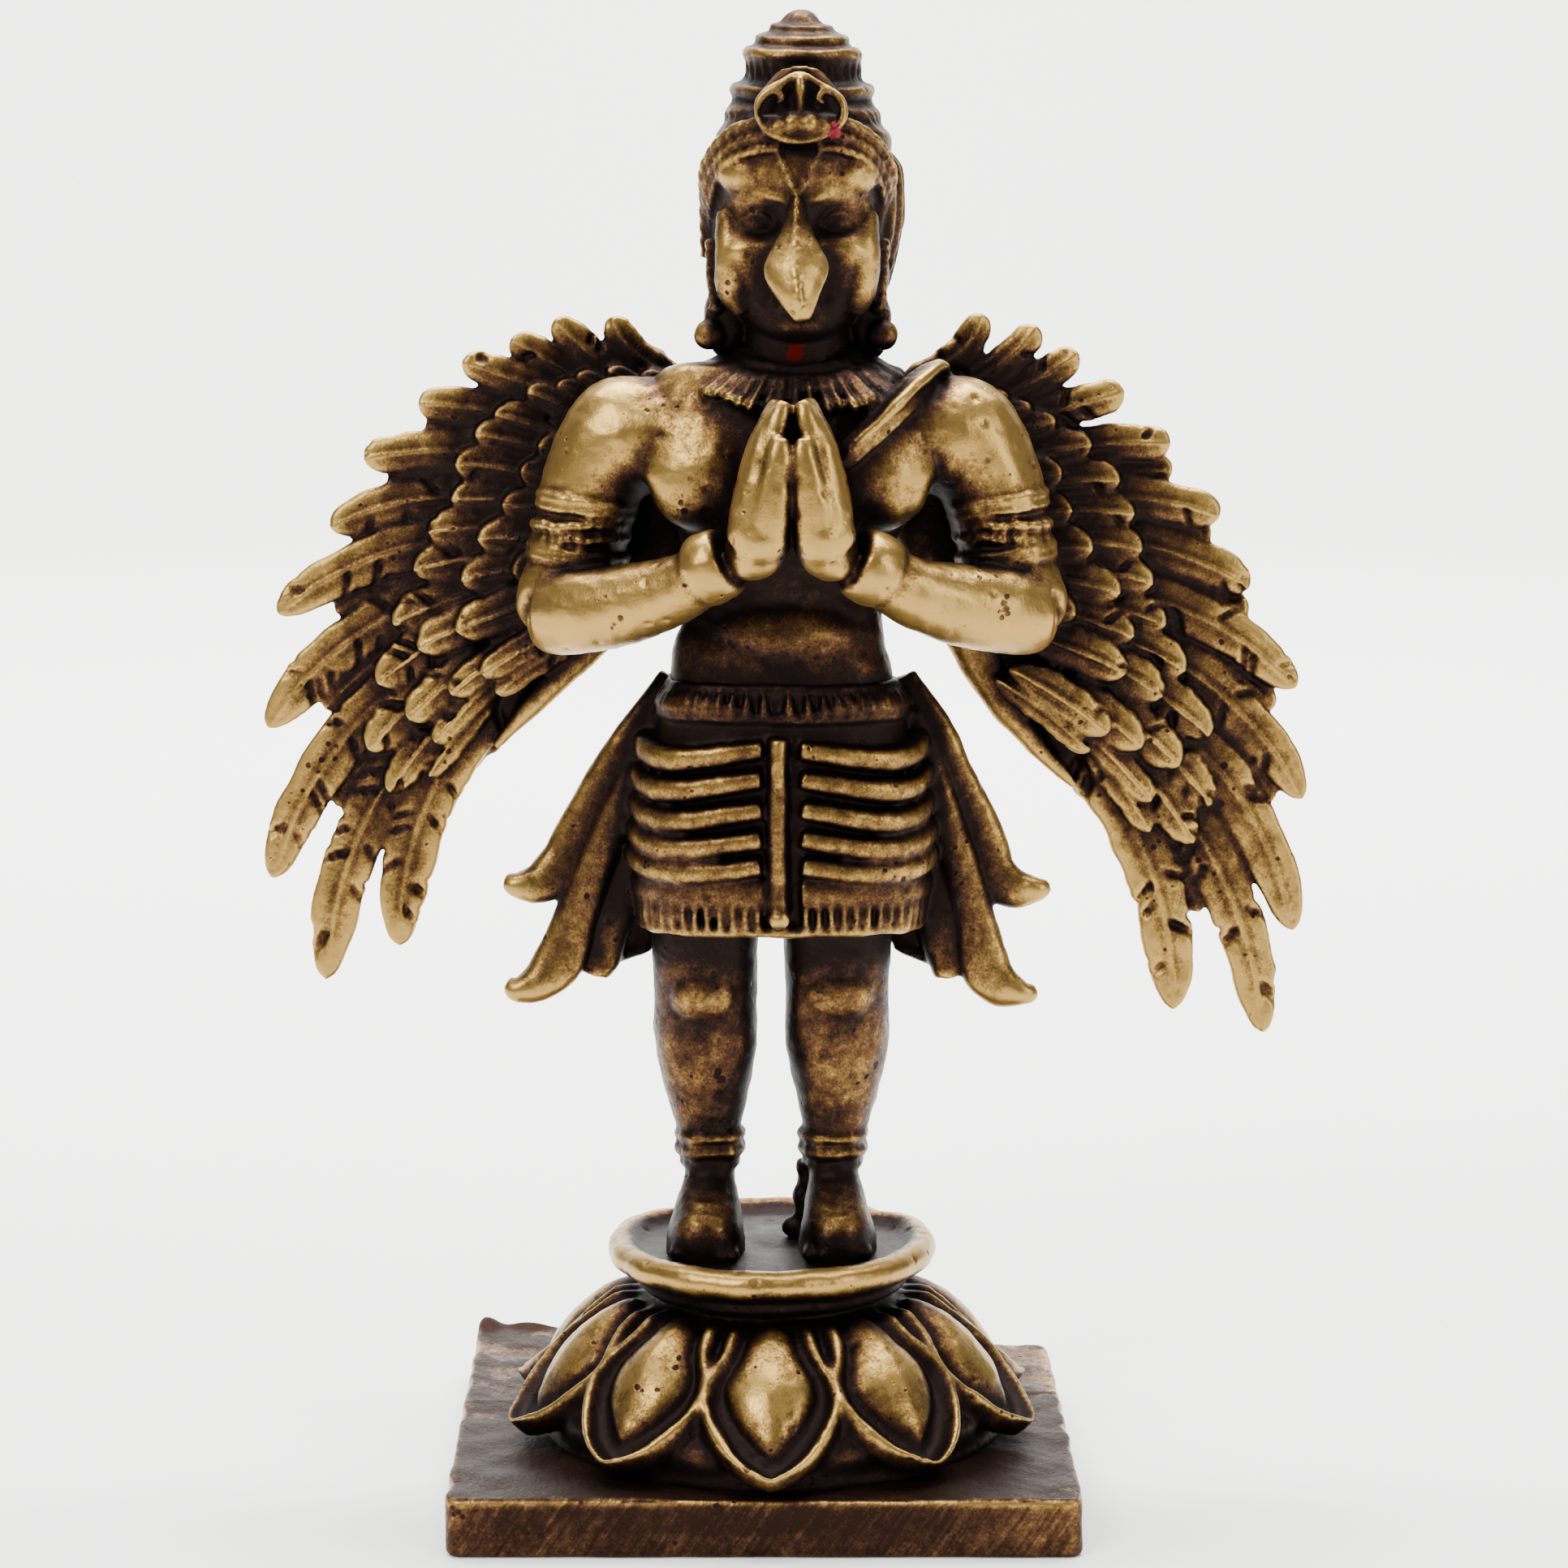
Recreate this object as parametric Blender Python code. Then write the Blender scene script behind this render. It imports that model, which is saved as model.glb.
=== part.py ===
# Cast brass garuda with folded hands, standing on a lotus and a flat plinth.
import math

import bmesh
import bpy
import numpy as np
from mathutils import Vector

mm = 0.001

# Plinth
plinth_width = 37.4 * mm
plinth_shift = -0.35 * mm
plinth_depth = 37.0 * mm
plinth_slant = 4.8 * mm
plinth_flare = 0.9 * mm
plinth_front = 16.1 * mm
plinth_thickness = 3.5 * mm
plinth_edge_radius = 0.35 * mm
plinth_corner_radius = 1.0 * mm

# Lotus
lotus_height = 9.3 * mm
lotus_neck_radius = 7.7 * mm
petal_count = 10
petal_reach = 16.2 * mm
petal_fall = 1.65
petal_width = 7.4 * mm
petal_thickness = 1.1 * mm
petal_rim = 0.42 * mm
pillow_share = 0.62
apron_radius = 14.3 * mm

# Disc that the feet stand on
disc_width = 20.2 * mm
disc_depth = 20.0 * mm
disc_thickness = 1.9 * mm
disc_roll = 0.25

# Figure, from the top of the disc to the tip of the crown
figure_height = 75.4 * mm
feather_thickness = 1.15 * mm
wing_setback = 4.2 * mm
overlap = 0.4 * mm

# Surface
grain = 0.30 * mm
triangle_budget = 8800

disc_top = plinth_thickness + lotus_height + disc_thickness
unit = figure_height / 100.0


def flow(stations, steps):
    """Smooth curve through the stations, a Catmull-Rom spline with the same number of steps in each span."""
    rows = np.array(stations, dtype=float)
    ends = np.vstack([2 * rows[0] - rows[1], rows, 2 * rows[-1] - rows[-2]])
    t = np.arange(steps)[:, None] / steps
    spans = []
    for a, b, c, d in zip(ends, ends[1:], ends[2:], ends[3:]):
        curve = 2 * b + (c - a) * t + (2 * a - 5 * b + 4 * c - d) * t**2 + (3 * b - a - 3 * c + d) * t**3
        spans.append(0.5 * curve)
    return np.vstack(spans + [rows[-1:]])


def unit_rows(rows):
    return rows / np.maximum(np.linalg.norm(rows, axis=1, keepdims=True), 1e-12)


def skin(bm, rings):
    """Closed skin over rings of points, with a flat cap at each end."""
    loops = [[bm.verts.new(point) for point in ring] for ring in rings]
    for low, high in zip(loops, loops[1:]):
        for i, vert in enumerate(low):
            j = (i + 1) % len(low)
            bm.faces.new((vert, low[j], high[j], high[i]))
    bm.faces.new(loops[0][::-1])
    bm.faces.new(loops[-1])


def sweep(bm, stations, facing=(0, 1, 0), sides=14, squareness=2.0, steps=4):
    """Carries an ellipse along the stations, each x, y, z, half width, half depth in metres."""
    rows = flow(stations, steps)
    rows[:, 3:] = np.maximum(rows[:, 3:], 0.02 * mm)
    along = unit_rows(np.gradient(rows[:, :3], axis=0))
    across = unit_rows(np.cross(along, np.broadcast_to(facing, along.shape)))
    through = np.cross(across, along)
    turn = np.linspace(0, 2 * math.pi, sides, endpoint=False)
    bend = 2.0 / squareness
    side = np.sign(np.cos(turn)) * np.abs(np.cos(turn)) ** bend
    front = np.sign(np.sin(turn)) * np.abs(np.sin(turn)) ** bend
    rings = rows[:, None, :3] + across[:, None] * rows[:, None, 3:4] * side[None, :, None]
    rings = rings + through[:, None] * rows[:, None, 4:5] * front[None, :, None]
    skin(bm, rings)


def figure(stations):
    """Stations given as shares of the figure's height, in hundredths, set on top of the disc."""
    rows = np.array(stations, dtype=float) * unit
    rows[:, 2] += disc_top
    return rows


def limb(bm, stations, **how):
    sweep(bm, figure(stations), **how)


def ball(bm, x, y, z, across, deep=None, tall=None):
    deep = across if deep is None else deep
    tall = across if tall is None else tall
    turns = np.linspace(-80, 80, 9)
    rows = [
        (x, y, z + tall * math.sin(math.radians(a)), across * math.cos(math.radians(a)),
         deep * math.cos(math.radians(a)))
        for a in turns
    ]
    limb(bm, rows, steps=1)


def band(bm, centre, axis, radius, thick, sides=28):
    """Ring of round section about a centre, square to the axis, all in hundredths of the height."""
    up = Vector(axis).normalized()
    first = up.cross(Vector((0, 1, 0))).normalized()
    second = up.cross(first)
    centre = Vector(centre) * unit + Vector((0, 0, disc_top))
    loops = []
    for i in range(sides):
        turn = 2 * math.pi * i / sides
        outward = first * math.cos(turn) + second * math.sin(turn)
        middle = centre + outward * radius * unit
        ring = []
        for k in range(8):
            lean = 2 * math.pi * k / 8
            outer = outward * math.cos(lean) + up * math.sin(lean)
            ring.append(bm.verts.new(middle + outer * thick * unit))
        loops.append(ring)
    for low, high in zip(loops, loops[1:] + loops[:1]):
        for k in range(8):
            bm.faces.new((low[k], low[(k + 1) % 8], high[(k + 1) % 8], high[k]))


def turned(bm, profile, depth_share=1.0, sides=56):
    """Turned form about the upright axis, from (radius, height) pairs in metres, lowest first."""
    turn = np.linspace(0, 2 * math.pi, sides, endpoint=False)
    rings = []
    for radius, height in profile:
        rings.append(np.column_stack([
            radius * np.cos(turn),
            radius * depth_share * np.sin(turn),
            np.full(sides, height),
        ]))
    skin(bm, rings)


# Lotus

def dome_height(out):
    """Height of the dome over the plinth, at a share of the way out from its neck to the petals' tips."""
    return (lotus_height - 0.5 * disc_thickness - petal_thickness * 0.5) * (1 - out**petal_fall)


def petal_line(start, end, lift, steps):
    """Radius and height down the dome, between two shares of a petal's length, lifted off it squarely."""
    lean = np.linspace(start, end, steps) * math.pi / 2
    radius = lotus_neck_radius + (petal_reach - lotus_neck_radius) * np.sin(lean) + lift * np.sin(lean)
    height = plinth_thickness + petal_thickness * 0.5 + dome_height(np.sin(lean)) + lift * np.cos(lean)
    return radius, height


def almond(share):
    """Half width of a petal, as a share of its greatest, from its root at 0 to its point at 1."""
    body = np.sin(np.pi * np.clip(share, 0, 1) ** 0.80) ** 0.72
    return body * (1 - 0.25 * (1 - share)) + 0.30 * (1 - share) ** 3


def add_petal(bm, angle):
    out = np.array([math.cos(angle), math.sin(angle)])
    side = np.array([-out[1], out[0]])
    share = np.linspace(0.0, 1.0, 15)

    def run(radius, height, offset, wide, thick):
        flat = radius[:, None] * out + offset[:, None] * side
        return np.column_stack([flat, height, wide, thick])

    flat = np.zeros_like(share)
    radius, height = petal_line(0.0, 1.0, -petal_thickness * 0.4, len(share))
    wide = almond(share) * petal_width / 2
    sweep(bm, run(radius, height, flat, wide, flat + petal_thickness * 0.55), facing=(0, 0, 1), steps=1)
    pillow = np.linspace(0.16, 0.86, 11)
    radius, height = petal_line(0.16, 0.86, 0.0, len(pillow))
    swell = np.sin(np.pi * np.linspace(0.03, 0.97, len(pillow)))
    wide = almond(pillow) * petal_width / 2 * pillow_share * swell**0.35
    thick = swell**0.5 * petal_thickness
    sweep(bm, run(radius, height, np.zeros_like(pillow), wide, thick), facing=(0, 0, 1), steps=1)
    radius, height = petal_line(0.05, 1.0, petal_rim * 0.3, len(share))
    share = np.linspace(0.05, 1.0, len(share))
    for hand in (-1, 1):
        offset = hand * almond(share) * (petal_width / 2 - petal_rim)
        thick = np.full_like(share, petal_rim)
        sweep(bm, run(radius, height, offset, thick, thick), facing=(0, 0, 1), sides=8, steps=1)


def add_lotus(bm):
    dome = [(apron_radius * 0.98, plinth_thickness - overlap), (apron_radius, plinth_thickness + overlap)]
    for out in np.linspace(0.9, 0.0, 9):
        radius = lotus_neck_radius + (petal_reach - lotus_neck_radius) * out - petal_thickness * 0.5
        dome.append((min(radius, apron_radius * 0.99), plinth_thickness + overlap + dome_height(out)))
    dome.append((lotus_neck_radius, disc_top - 0.5 * disc_thickness))
    turned(bm, dome)
    for i in range(petal_count):
        add_petal(bm, -math.pi / 2 + 2 * math.pi * i / petal_count)


def add_disc(bm):
    half = disc_thickness / 2
    profile = [(disc_width / 2 - half, disc_top - disc_thickness)]
    for lean in np.radians(np.linspace(-60, 120, 10)):
        height = disc_top - (1 - disc_roll) * half + half * math.sin(lean)
        profile.append((disc_width / 2 - half + half * math.cos(lean), height))
    profile.append((disc_width / 2 - 2.1 * half, disc_top))
    turned(bm, profile, depth_share=disc_depth / disc_width)


# Figure. All numbers below are hundredths of its height: across, back, up from the top of the disc.

body_lean = 2.1
sink = -overlap / unit


def add_legs(bm):
    for hand in (-1, 1):
        x = -0.05 + 5.2 * hand
        limb(bm, [(x, 0.3, 4.0, 2.3, 2.3), (x * 0.95, 0.4, 6.5, 2.2, 2.3), (x, 0.5, 9.5, 2.7, 2.6),
                  (x, 0.9, 14.0, 3.7, 3.7), (x * 1.01, 0.8, 17.5, 4.0, 3.8), (x * 1.01, 0.3, 21.0, 3.95, 3.9),
                  (x * 1.02, 0.2, 25.0, 4.3, 4.4), (x, 0.2, 31.0, 4.6, 4.9)], sides=18)
        limb(bm, [(x, 0.1, 6.4, 2.0, 2.1), (x, -0.4, 4.2, 2.35, 2.9), (x * 1.01, -1.2, 2.4, 2.8, 4.2),
                  (x * 1.02, -1.6, 1.1, 3.1, 4.9), (x * 1.02, -1.6, sink, 3.15, 4.9)],
             sides=18, squareness=2.4)
        ball(bm, x * 1.02, -3.1, 21.2, 2.3, 1.5, 2.2)
        for z in (7.3, 9.1):
            band(bm, (x * 0.95, 0.4, z), (0, 0, 1), 2.2, 0.48)
        limb(bm, [(x * 0.95, 0.4, 7.2, 2.45, 2.45), (x * 0.95, 0.4, 9.2, 2.45, 2.45)], sides=18, steps=1)
        for toe in range(5):
            ball(bm, x * 1.02 + (toe - 2) * 1.12 * hand, -5.9 + 0.28 * abs(toe - 2), 0.7, 0.62, 0.9, 0.6)


def skirt_half(z):
    """Half width and half depth of the skirt at a height."""
    wide = np.interp(z, [26, 28, 34, 40, 44, 47], [10.7, 11.3, 11.4, 10.9, 10.1, 9.2])
    deep = np.interp(z, [26, 28, 34, 40, 44, 47], [6.9, 7.3, 7.4, 7.1, 6.5, 5.9])
    return wide, deep


def skirt_line(turns, z, proud, thick):
    """Stations round the skirt at the given turns from the front, standing proud of it."""
    wide, deep = skirt_half(z)
    bend = 2.0 / 2.5
    side = np.sign(np.sin(turns)) * np.abs(np.sin(turns)) ** bend
    front = np.sign(np.cos(turns)) * np.abs(np.cos(turns)) ** bend
    x = 0.85 + (wide + proud) * side
    return np.column_stack([x, -(deep + proud) * front, z, thick, thick])


rib_heights = (40.5, 38.0, 35.6, 33.4, 31.3)


def add_skirt(bm):
    levels = np.array([26.2, 28, 31, 34, 37, 40, 44, 47.5])
    wide, deep = skirt_half(levels)
    limb(bm, [(0.85, 0, z, w, d) for z, w, d in zip(levels, wide, deep)], sides=32, squareness=2.5, steps=1)
    share = np.linspace(0, 1, 12)
    for hand in (-1, 1):
        turns = hand * np.radians(14 + 150 * share)
        for z in rib_heights:
            sag = np.sin(np.pi * np.minimum(share / 0.62, 1.0))
            thick = 0.56 * np.sin(np.pi * np.clip(share * 0.9 + 0.06, 0, 1)) ** 0.3
            limb(bm, skirt_line(turns, z - 0.8 * sag, 0.25, thick), facing=(0, 0, 1), sides=8, steps=1)
        rows = skirt_line(turns, np.full_like(share, 28.9), -0.3, np.full_like(share, 0.95))
        limb(bm, rows, facing=(0, 0, 1), sides=8, steps=1)
        for turn in hand * np.radians(np.arange(18, 160, 11.0)):
            rows = skirt_line(np.array([turn, turn]), np.array([27.9, 26.5]), 0.15, np.array([0.4, 0.4]))
            limb(bm, rows, sides=6, steps=1)
    hoop = np.radians(np.linspace(-180, 180, 41))
    for z, proud, thick in ((26.2, 0.0, 0.55), (46.4, 0.0, 0.75), (44.0, 0.1, 0.5)):
        rows = skirt_line(hoop, np.full_like(hoop, z), proud, np.full_like(hoop, thick))
        limb(bm, rows, facing=(0, 0, 1), sides=8, steps=1)
    for turn in np.radians(np.arange(-95, 96, 9.5)):
        limb(bm, skirt_line(np.array([turn, turn]), np.array([45.6, 44.4]), 0.2, np.array([0.38, 0.42])),
             sides=6, steps=1)
    for top, bottom, half in ((41.6, 37.8, 0.60), (37.4, 29.2, 0.66), (28.8, 27.0, 0.72)):
        limb(bm, [(0.6, -7.3, top, half, 1.1), (0.6, -7.5, bottom, half, 1.1)], sides=10, steps=1)
    ball(bm, 0.6, -7.9, 27.0, 0.85)


def add_torso(bm):
    limb(bm, [(0.85, 0.0, 45.5, 9.1, 5.7), (0.85, 0.0, 48.5, 8.8, 5.4), (1.0, 0.0, 51.0, 8.1, 5.1),
              (1.1, 0.0, 53.5, 7.8, 5.0), (1.2, -0.1, 57.0, 8.2, 5.4), (1.4, -0.2, 61.0, 10.0, 6.0),
              (1.6, -0.1, 65.0, 11.4, 6.2), (1.9, 0.2, 68.6, 12.2, 5.4), (2.0, 0.4, 70.8, 11.0, 4.8),
              (2.1, 0.4, 72.6, 8.0, 4.2), (2.1, 0.4, 74.4, 5.9, 3.8)], sides=28, squareness=2.3)
    for hand in (-1, 1):
        ball(bm, 1.5 + 6.0 * hand, -3.9, 63.8, 5.0, 2.9, 3.7)
    ball(bm, 1.0, -3.4, 50.5, 5.6, 2.6, 3.6)
    limb(bm, [(2.0, 0.2, 70.5, 4.9, 4.4), (2.1, -0.1, 73.0, 4.2, 4.0), (2.1, -0.2, 76.5, 4.1, 4.2)], sides=20)
    # Strap over one shoulder, in two ridges
    for drop in (-0.75, 0.75):
        limb(bm, [(13.2, 1.6, 70.6 + drop, 0.8, 0.8), (12.6, -1.4, 71.0 + drop, 0.95, 0.9),
                  (9.8 - drop * 0.6, -4.9, 69.0 + drop, 0.95, 0.9),
                  (7.4 - drop * 0.6, -6.3, 66.8 + drop, 0.9, 0.8),
                  (5.2 - drop * 0.6, -6.6, 64.6 + drop, 0.7, 0.6)], sides=10)


def collar_point(turn, out):
    """Point on the chest round the neck, at a turn from the front and a share of the collar's breadth."""
    x = body_lean + (4.9 + 3.4 * out) * np.sin(turn)
    y = -0.2 - (4.5 + 2.6 * out) * np.cos(turn)
    z = 73.0 - 1.6 * np.cos(turn) - 3.0 * out * (0.55 + 0.45 * np.cos(turn))
    return x, y, z


def add_necklace(bm):
    hoop = np.radians(np.linspace(-120, 120, 27))
    x, y, z = collar_point(hoop, 0.0)
    thick = np.full_like(hoop, 0.5)
    limb(bm, np.column_stack([x, y, z, thick, thick]), facing=(0, 0, 1), sides=8, steps=1)
    for turn in np.radians(np.arange(-84, 85, 10.5)):
        inner, outer = collar_point(turn, 0.15), collar_point(turn, 0.85)
        limb(bm, [(*inner, 0.30, 0.42), (*outer, 0.46, 0.55)], sides=6, steps=1)


def add_arm(bm, hand):
    """One arm with its armlet, bracelet and hand; the hands meet in front of the chest."""
    mid = 1.65

    def across(x):
        return mid + hand * x

    elbow = 19.3
    limb(bm, [(across(10.6), 0.3, 67.3, 3.6, 4.0), (across(13.5), 0.4, 66.3, 4.5, 4.4),
              (across(16.0), 0.5, 62.6, 4.1, 4.0), (across(16.8), 0.5, 58.8, 3.75, 3.7),
              (across(17.9), 0.0, 55.2, 3.55, 3.5), (across(elbow), -1.2, 52.6, 3.2, 3.2)], sides=18)
    ball(bm, across(13.0), 0.4, 66.3, 5.0, 4.6, 4.9)
    limb(bm, [(across(elbow + 0.2), -1.3, 52.4, 3.0, 3.0), (across(16.8), -3.2, 52.8, 3.2, 3.2),
              (across(13.2), -5.4, 53.4, 3.0, 3.0), (across(9.0), -7.6, 54.9, 2.6, 2.6),
              (across(5.4), -9.2, 57.0, 2.2, 2.3)], sides=18)
    for z, proud in ((60.8, 0.15), (57.1, 0.15)):
        band(bm, (across(16.9 + (58.8 - z) * 0.18), 0.4, z), (-0.14 * hand, 0, 1), 3.85 + proud, 0.48)
    for turn in np.radians(np.arange(-105, 106, 30.0)):
        ball(bm, across(16.9 + 3.8 * math.sin(turn)), 0.4 - 3.8 * math.cos(turn), 59.0, 0.95, 0.95, 1.1)
    lower = (0.84 * hand, 0.36, -0.40)
    for shift in (-0.85, 0.85):
        middle = (across(6.1 + shift * 0.84), -8.9 + shift * 0.36, 56.6 - shift * 0.40)
        band(bm, middle, lower, 2.55, 0.55)
    # Palm and fingers
    limb(bm, [(across(5.0), -9.4, 57.2, 2.2, 2.2), (across(2.6), -10.0, 58.6, 2.1, 2.6),
              (across(2.2), -10.2, 61.4, 1.95, 2.9), (across(1.7), -10.2, 64.2, 1.35, 2.9),
              (across(1.2), -10.0, 67.0, 0.95, 2.4), (across(1.0), -9.8, 69.2, 0.7, 1.7)], sides=14)
    for finger in range(4):
        deep = -12.2 + finger * 1.45
        top = 69.4 - 0.9 * abs(finger - 1.3)
        limb(bm, [(across(1.7), deep, 62.0, 1.1, 0.85), (across(1.25), deep, 66.5, 0.85, 0.78),
                  (across(1.0), deep, top, 0.6, 0.6)], sides=8, steps=3)
    limb(bm, [(across(3.4), -12.0, 59.0, 1.0, 1.0), (across(2.2), -12.9, 62.5, 0.9, 0.9),
              (across(0.9), -13.0, 65.6, 0.6, 0.6)], sides=8, steps=3)


def add_head(bm):
    x = body_lean
    limb(bm, [(x, -2.6, 73.9, 1.9, 2.0), (x, -2.2, 75.2, 3.7, 3.6), (x, -1.4, 77.2, 5.2, 5.0),
              (x, -0.7, 79.8, 6.2, 6.0), (x, -0.4, 82.5, 6.5, 6.2), (x, -0.2, 86.0, 6.6, 6.5),
              (x, 0.0, 89.0, 6.5, 6.6), (x, 0.2, 91.0, 5.8, 6.0)], sides=28, squareness=2.2)
    ball(bm, x + 0.75, 1.8, 84.4, 8.1, 5.6, 6.9)
    limb(bm, [(x + 0.3, 1.8, 81.0, 6.6, 4.8), (x + 0.1, 2.0, 77.0, 6.3, 4.0), (x, 1.8, 72.5, 6.5, 3.6)],
         sides=20)
    for hand in (-1, 1):
        side = x + hand * 4.5
        ball(bm, side, -4.4, 80.5, 2.0, 1.9, 2.1)
        ball(bm, x + hand * 3.5, -5.4, 83.4, 1.45, 0.9, 0.95)
        limb(bm, [(x + hand * 0.9, -6.7, 85.2, 0.5, 0.5), (x + hand * 2.9, -6.4, 86.1, 0.65, 0.7),
                  (x + hand * 4.9, -5.1, 85.3, 0.6, 0.6), (x + hand * 6.0, -3.6, 83.6, 0.4, 0.4)], sides=8)
        limb(bm, [(x + hand * 0.25, -7.0, 84.9, 0.22, 0.3), (x + hand * 1.6, -6.9, 88.3, 0.22, 0.3)],
             sides=6, steps=1)
        for lift, reach in ((0.0, 6.9), (1.2, 7.1), (2.4, 7.2)):
            limb(bm, [(x + hand * 1.8, -7.1, 88.7 + lift, 0.55, 0.55),
                      (x + hand * 4.6, -5.6, 88.2 + lift, 0.55, 0.6),
                      (x + hand * (reach - 0.2), -2.6, 85.8 + lift, 0.55, 0.6),
                      (x + hand * (reach + 0.4), 0.6, 82.4 + lift * 0.6, 0.5, 0.5)],
                 sides=8)
        for bead in range(6):
            ball(bm, x + hand * (6.8 - 0.05 * bead), -2.3, 81.2 - 0.95 * bead, 0.52)
        ball(bm, x + hand * 7.0, -1.8, 75.0, 0.95)
        ball(bm, x + hand * 7.0, -1.4, 76.4, 0.6)
    limb(bm, [(x, -6.2, 85.4, 0.55, 0.7), (x, -7.4, 83.2, 1.0, 1.1), (x + 0.05, -8.6, 80.6, 2.1, 1.9),
              (x + 0.05, -9.3, 79.0, 2.15, 1.9), (x + 0.1, -9.9, 77.4, 1.25, 1.3), (x + 0.15, -9.8, 76.0, 0.25, 0.4)],
         sides=12, squareness=1.7)
    limb(bm, [(x - 1.6, -5.0, 76.6, 0.5, 0.5), (x, -5.9, 76.3, 0.6, 0.6), (x + 1.6, -5.0, 76.6, 0.5, 0.5)], sides=8)


# Half width of the crown against height, lowest first
crown_steps = (
    (88.0, 6.8), (90.0, 7.0), (90.7, 6.5), (91.2, 6.1), (91.9, 6.2), (92.2, 5.8), (93.2, 5.7), (93.5, 6.0),
    (94.1, 5.8), (94.4, 5.0), (95.0, 4.5), (96.0, 4.4), (96.3, 4.7), (97.1, 4.6), (97.3, 3.9), (97.7, 3.6),
    (98.1, 3.5), (98.4, 2.9), (98.8, 2.4), (99.0, 1.7), (99.6, 1.3), (100.0, 0.4),
)
crest_front = -6.9
crest_height = 92.2
crest_half_width = 3.35
crest_half_height = 2.75


def add_crown(bm):
    x = body_lean + 0.5
    limb(bm, [(x, 0.2, z, r, r) for z, r in crown_steps], sides=32, steps=1)
    for turn in np.radians(np.arange(0, 360, 18)):
        limb(bm, [(x + 4.5 * math.cos(turn), 0.2 + 4.5 * math.sin(turn), 94.6, 0.36, 0.36),
                  (x + 4.5 * math.cos(turn), 0.2 + 4.5 * math.sin(turn), 96.1, 0.36, 0.36)], sides=6, steps=1)
    # Crest: a pointed ring on a rounded backing, with a stem up its middle and two lobes on each side of that
    front, middle, across, tall = crest_front, crest_height, crest_half_width, crest_half_height
    turns = np.radians(np.linspace(-90, 270, 33))
    point = 0.6 * np.exp(-((np.degrees(turns) - 90) / 18.0) ** 2)
    ring = [(x + across * math.cos(t), front + 0.12 * (math.sin(t) - 1), middle + tall * math.sin(t) + p, 0.42, 0.5)
            for t, p in zip(turns, point)]
    limb(bm, ring, sides=8, steps=1)
    for rise, half in ((-0.8, across), (1.0, 0.9 * across)):
        ball(bm, x, front + 1.7, middle + rise, half, 1.5, 1.6)
    for hand in (-1, 1):
        ball(bm, x + hand * 1.9, front + 0.35, middle + 1.0, 0.8, 0.7, 0.75)
        ball(bm, x + hand * 1.35, front + 0.25, middle - 1.2, 1.0, 0.7, 0.6)
    limb(bm, [(x, front, middle - 1.8, 0.5, 0.7), (x, front - 0.1, middle + 0.8, 0.55, 0.8),
              (x, front, middle + 3.0, 0.3, 0.5)], sides=8)


# Wings. Bearing is degrees below level at the shoulder, reach is to the feather's tip.

feather_tips = {
    -1: ((-66, 11.5), (-47, 13.7), (-33, 15.3), (-22, 17.9), (-10, 20.5), (2, 24.7),
         (13.5, 28.3), (23, 34.8), (35, 40.4), (47.5, 48.3), (57.5, 52.3), (62, 46.5)),
    1: ((-68.5, 11.5), (-46, 12.8), (-30, 13.9), (-15.5, 16.2), (-1.5, 19.7), (13.5, 24.2),
        (23.5, 28.6), (33, 36.2), (43, 42.5), (53, 50.0), (60.5, 55.9), (67, 50.6)),
}
tip_allowance = 1.02
wing_shoulder = (10.9, 65.1)
wing_root_start = (6.6, 69.8)
wing_root_end = {-1: (17.2, 49.8), 1: (15.0, 46.4)}
covert_counts = (15, 13, 10, 8)
covert_reach = (0.78, 0.64, 0.50, 0.36)
covert_length = 0.28


def wing_middle(hand):
    return 2.3 + 0.3 * hand


def wing_line(share, start, end, hand, steps):
    """Line across and up of the feather at a share of the fan, between two shares of its length.

    It runs from its root on the wing's arm to its tip, and curls downwards: a quadratic curve.
    """
    tips = feather_tips[hand]
    spots = np.linspace(0, 1, len(tips))
    bearing = np.interp(share, spots, [tip[0] for tip in tips])
    reach = tip_allowance * np.interp(share, spots, [tip[1] for tip in tips])
    aim = math.radians(bearing)
    tip = np.array([wing_shoulder[0] + reach * math.cos(aim), wing_shoulder[1] - reach * math.sin(aim)])
    root = np.array(wing_root_start) * (1 - share) + np.array(wing_root_end[hand]) * share
    curl = math.radians(1.22 * bearing + 8 - 3 * hand)
    pull = 0.44 * np.linalg.norm(tip - root)
    knee = tip - pull * np.array([math.cos(curl), -math.sin(curl)])
    t = start + (end - start) * np.sin(np.linspace(0, math.pi / 2, steps))[:, None]
    line = (1 - t) ** 2 * root + 2 * t * (1 - t) * knee + t**2 * tip
    return np.column_stack([wing_middle(hand) + hand * line[:, 0], line[:, 1]])


def wing_depth(reach):
    """How far back a feather lies that ends at this share of its length: the fan sweeps back to its tips."""
    return wing_setback / unit + reach


def add_feather(bm, hand, share, start, end, wide, layer):
    """Long lobe with a round tip and a raised shaft, on its own layer in front of the wing's back."""
    steps = 12
    line = wing_line(share, start, end, hand, steps)
    t = np.sin(np.linspace(0, math.pi / 2, steps))
    width = wide * (0.55 + 0.45 * np.sin(np.pi * np.clip(t * 0.8 + 0.1, 0, 1))) * np.sqrt(np.clip(1 - t**6, 0.03, 1))
    thick = feather_thickness / unit / 2
    depth = wing_depth(end) - layer * thick * 0.95
    blade = np.column_stack([line[:, 0], np.full(steps, depth), line[:, 1], width, thick * (1.05 - 0.35 * t)])
    limb(bm, blade, sides=10, steps=1, squareness=2.6)
    shaft = blade.copy()
    shaft[:, 1] -= thick * 0.75
    shaft[:, 3] = 0.34 * (1 - 0.5 * t)
    shaft[:, 4] = 0.40 * (1 - 0.6 * t)
    limb(bm, shaft[1:-1], sides=6, steps=1)


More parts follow.
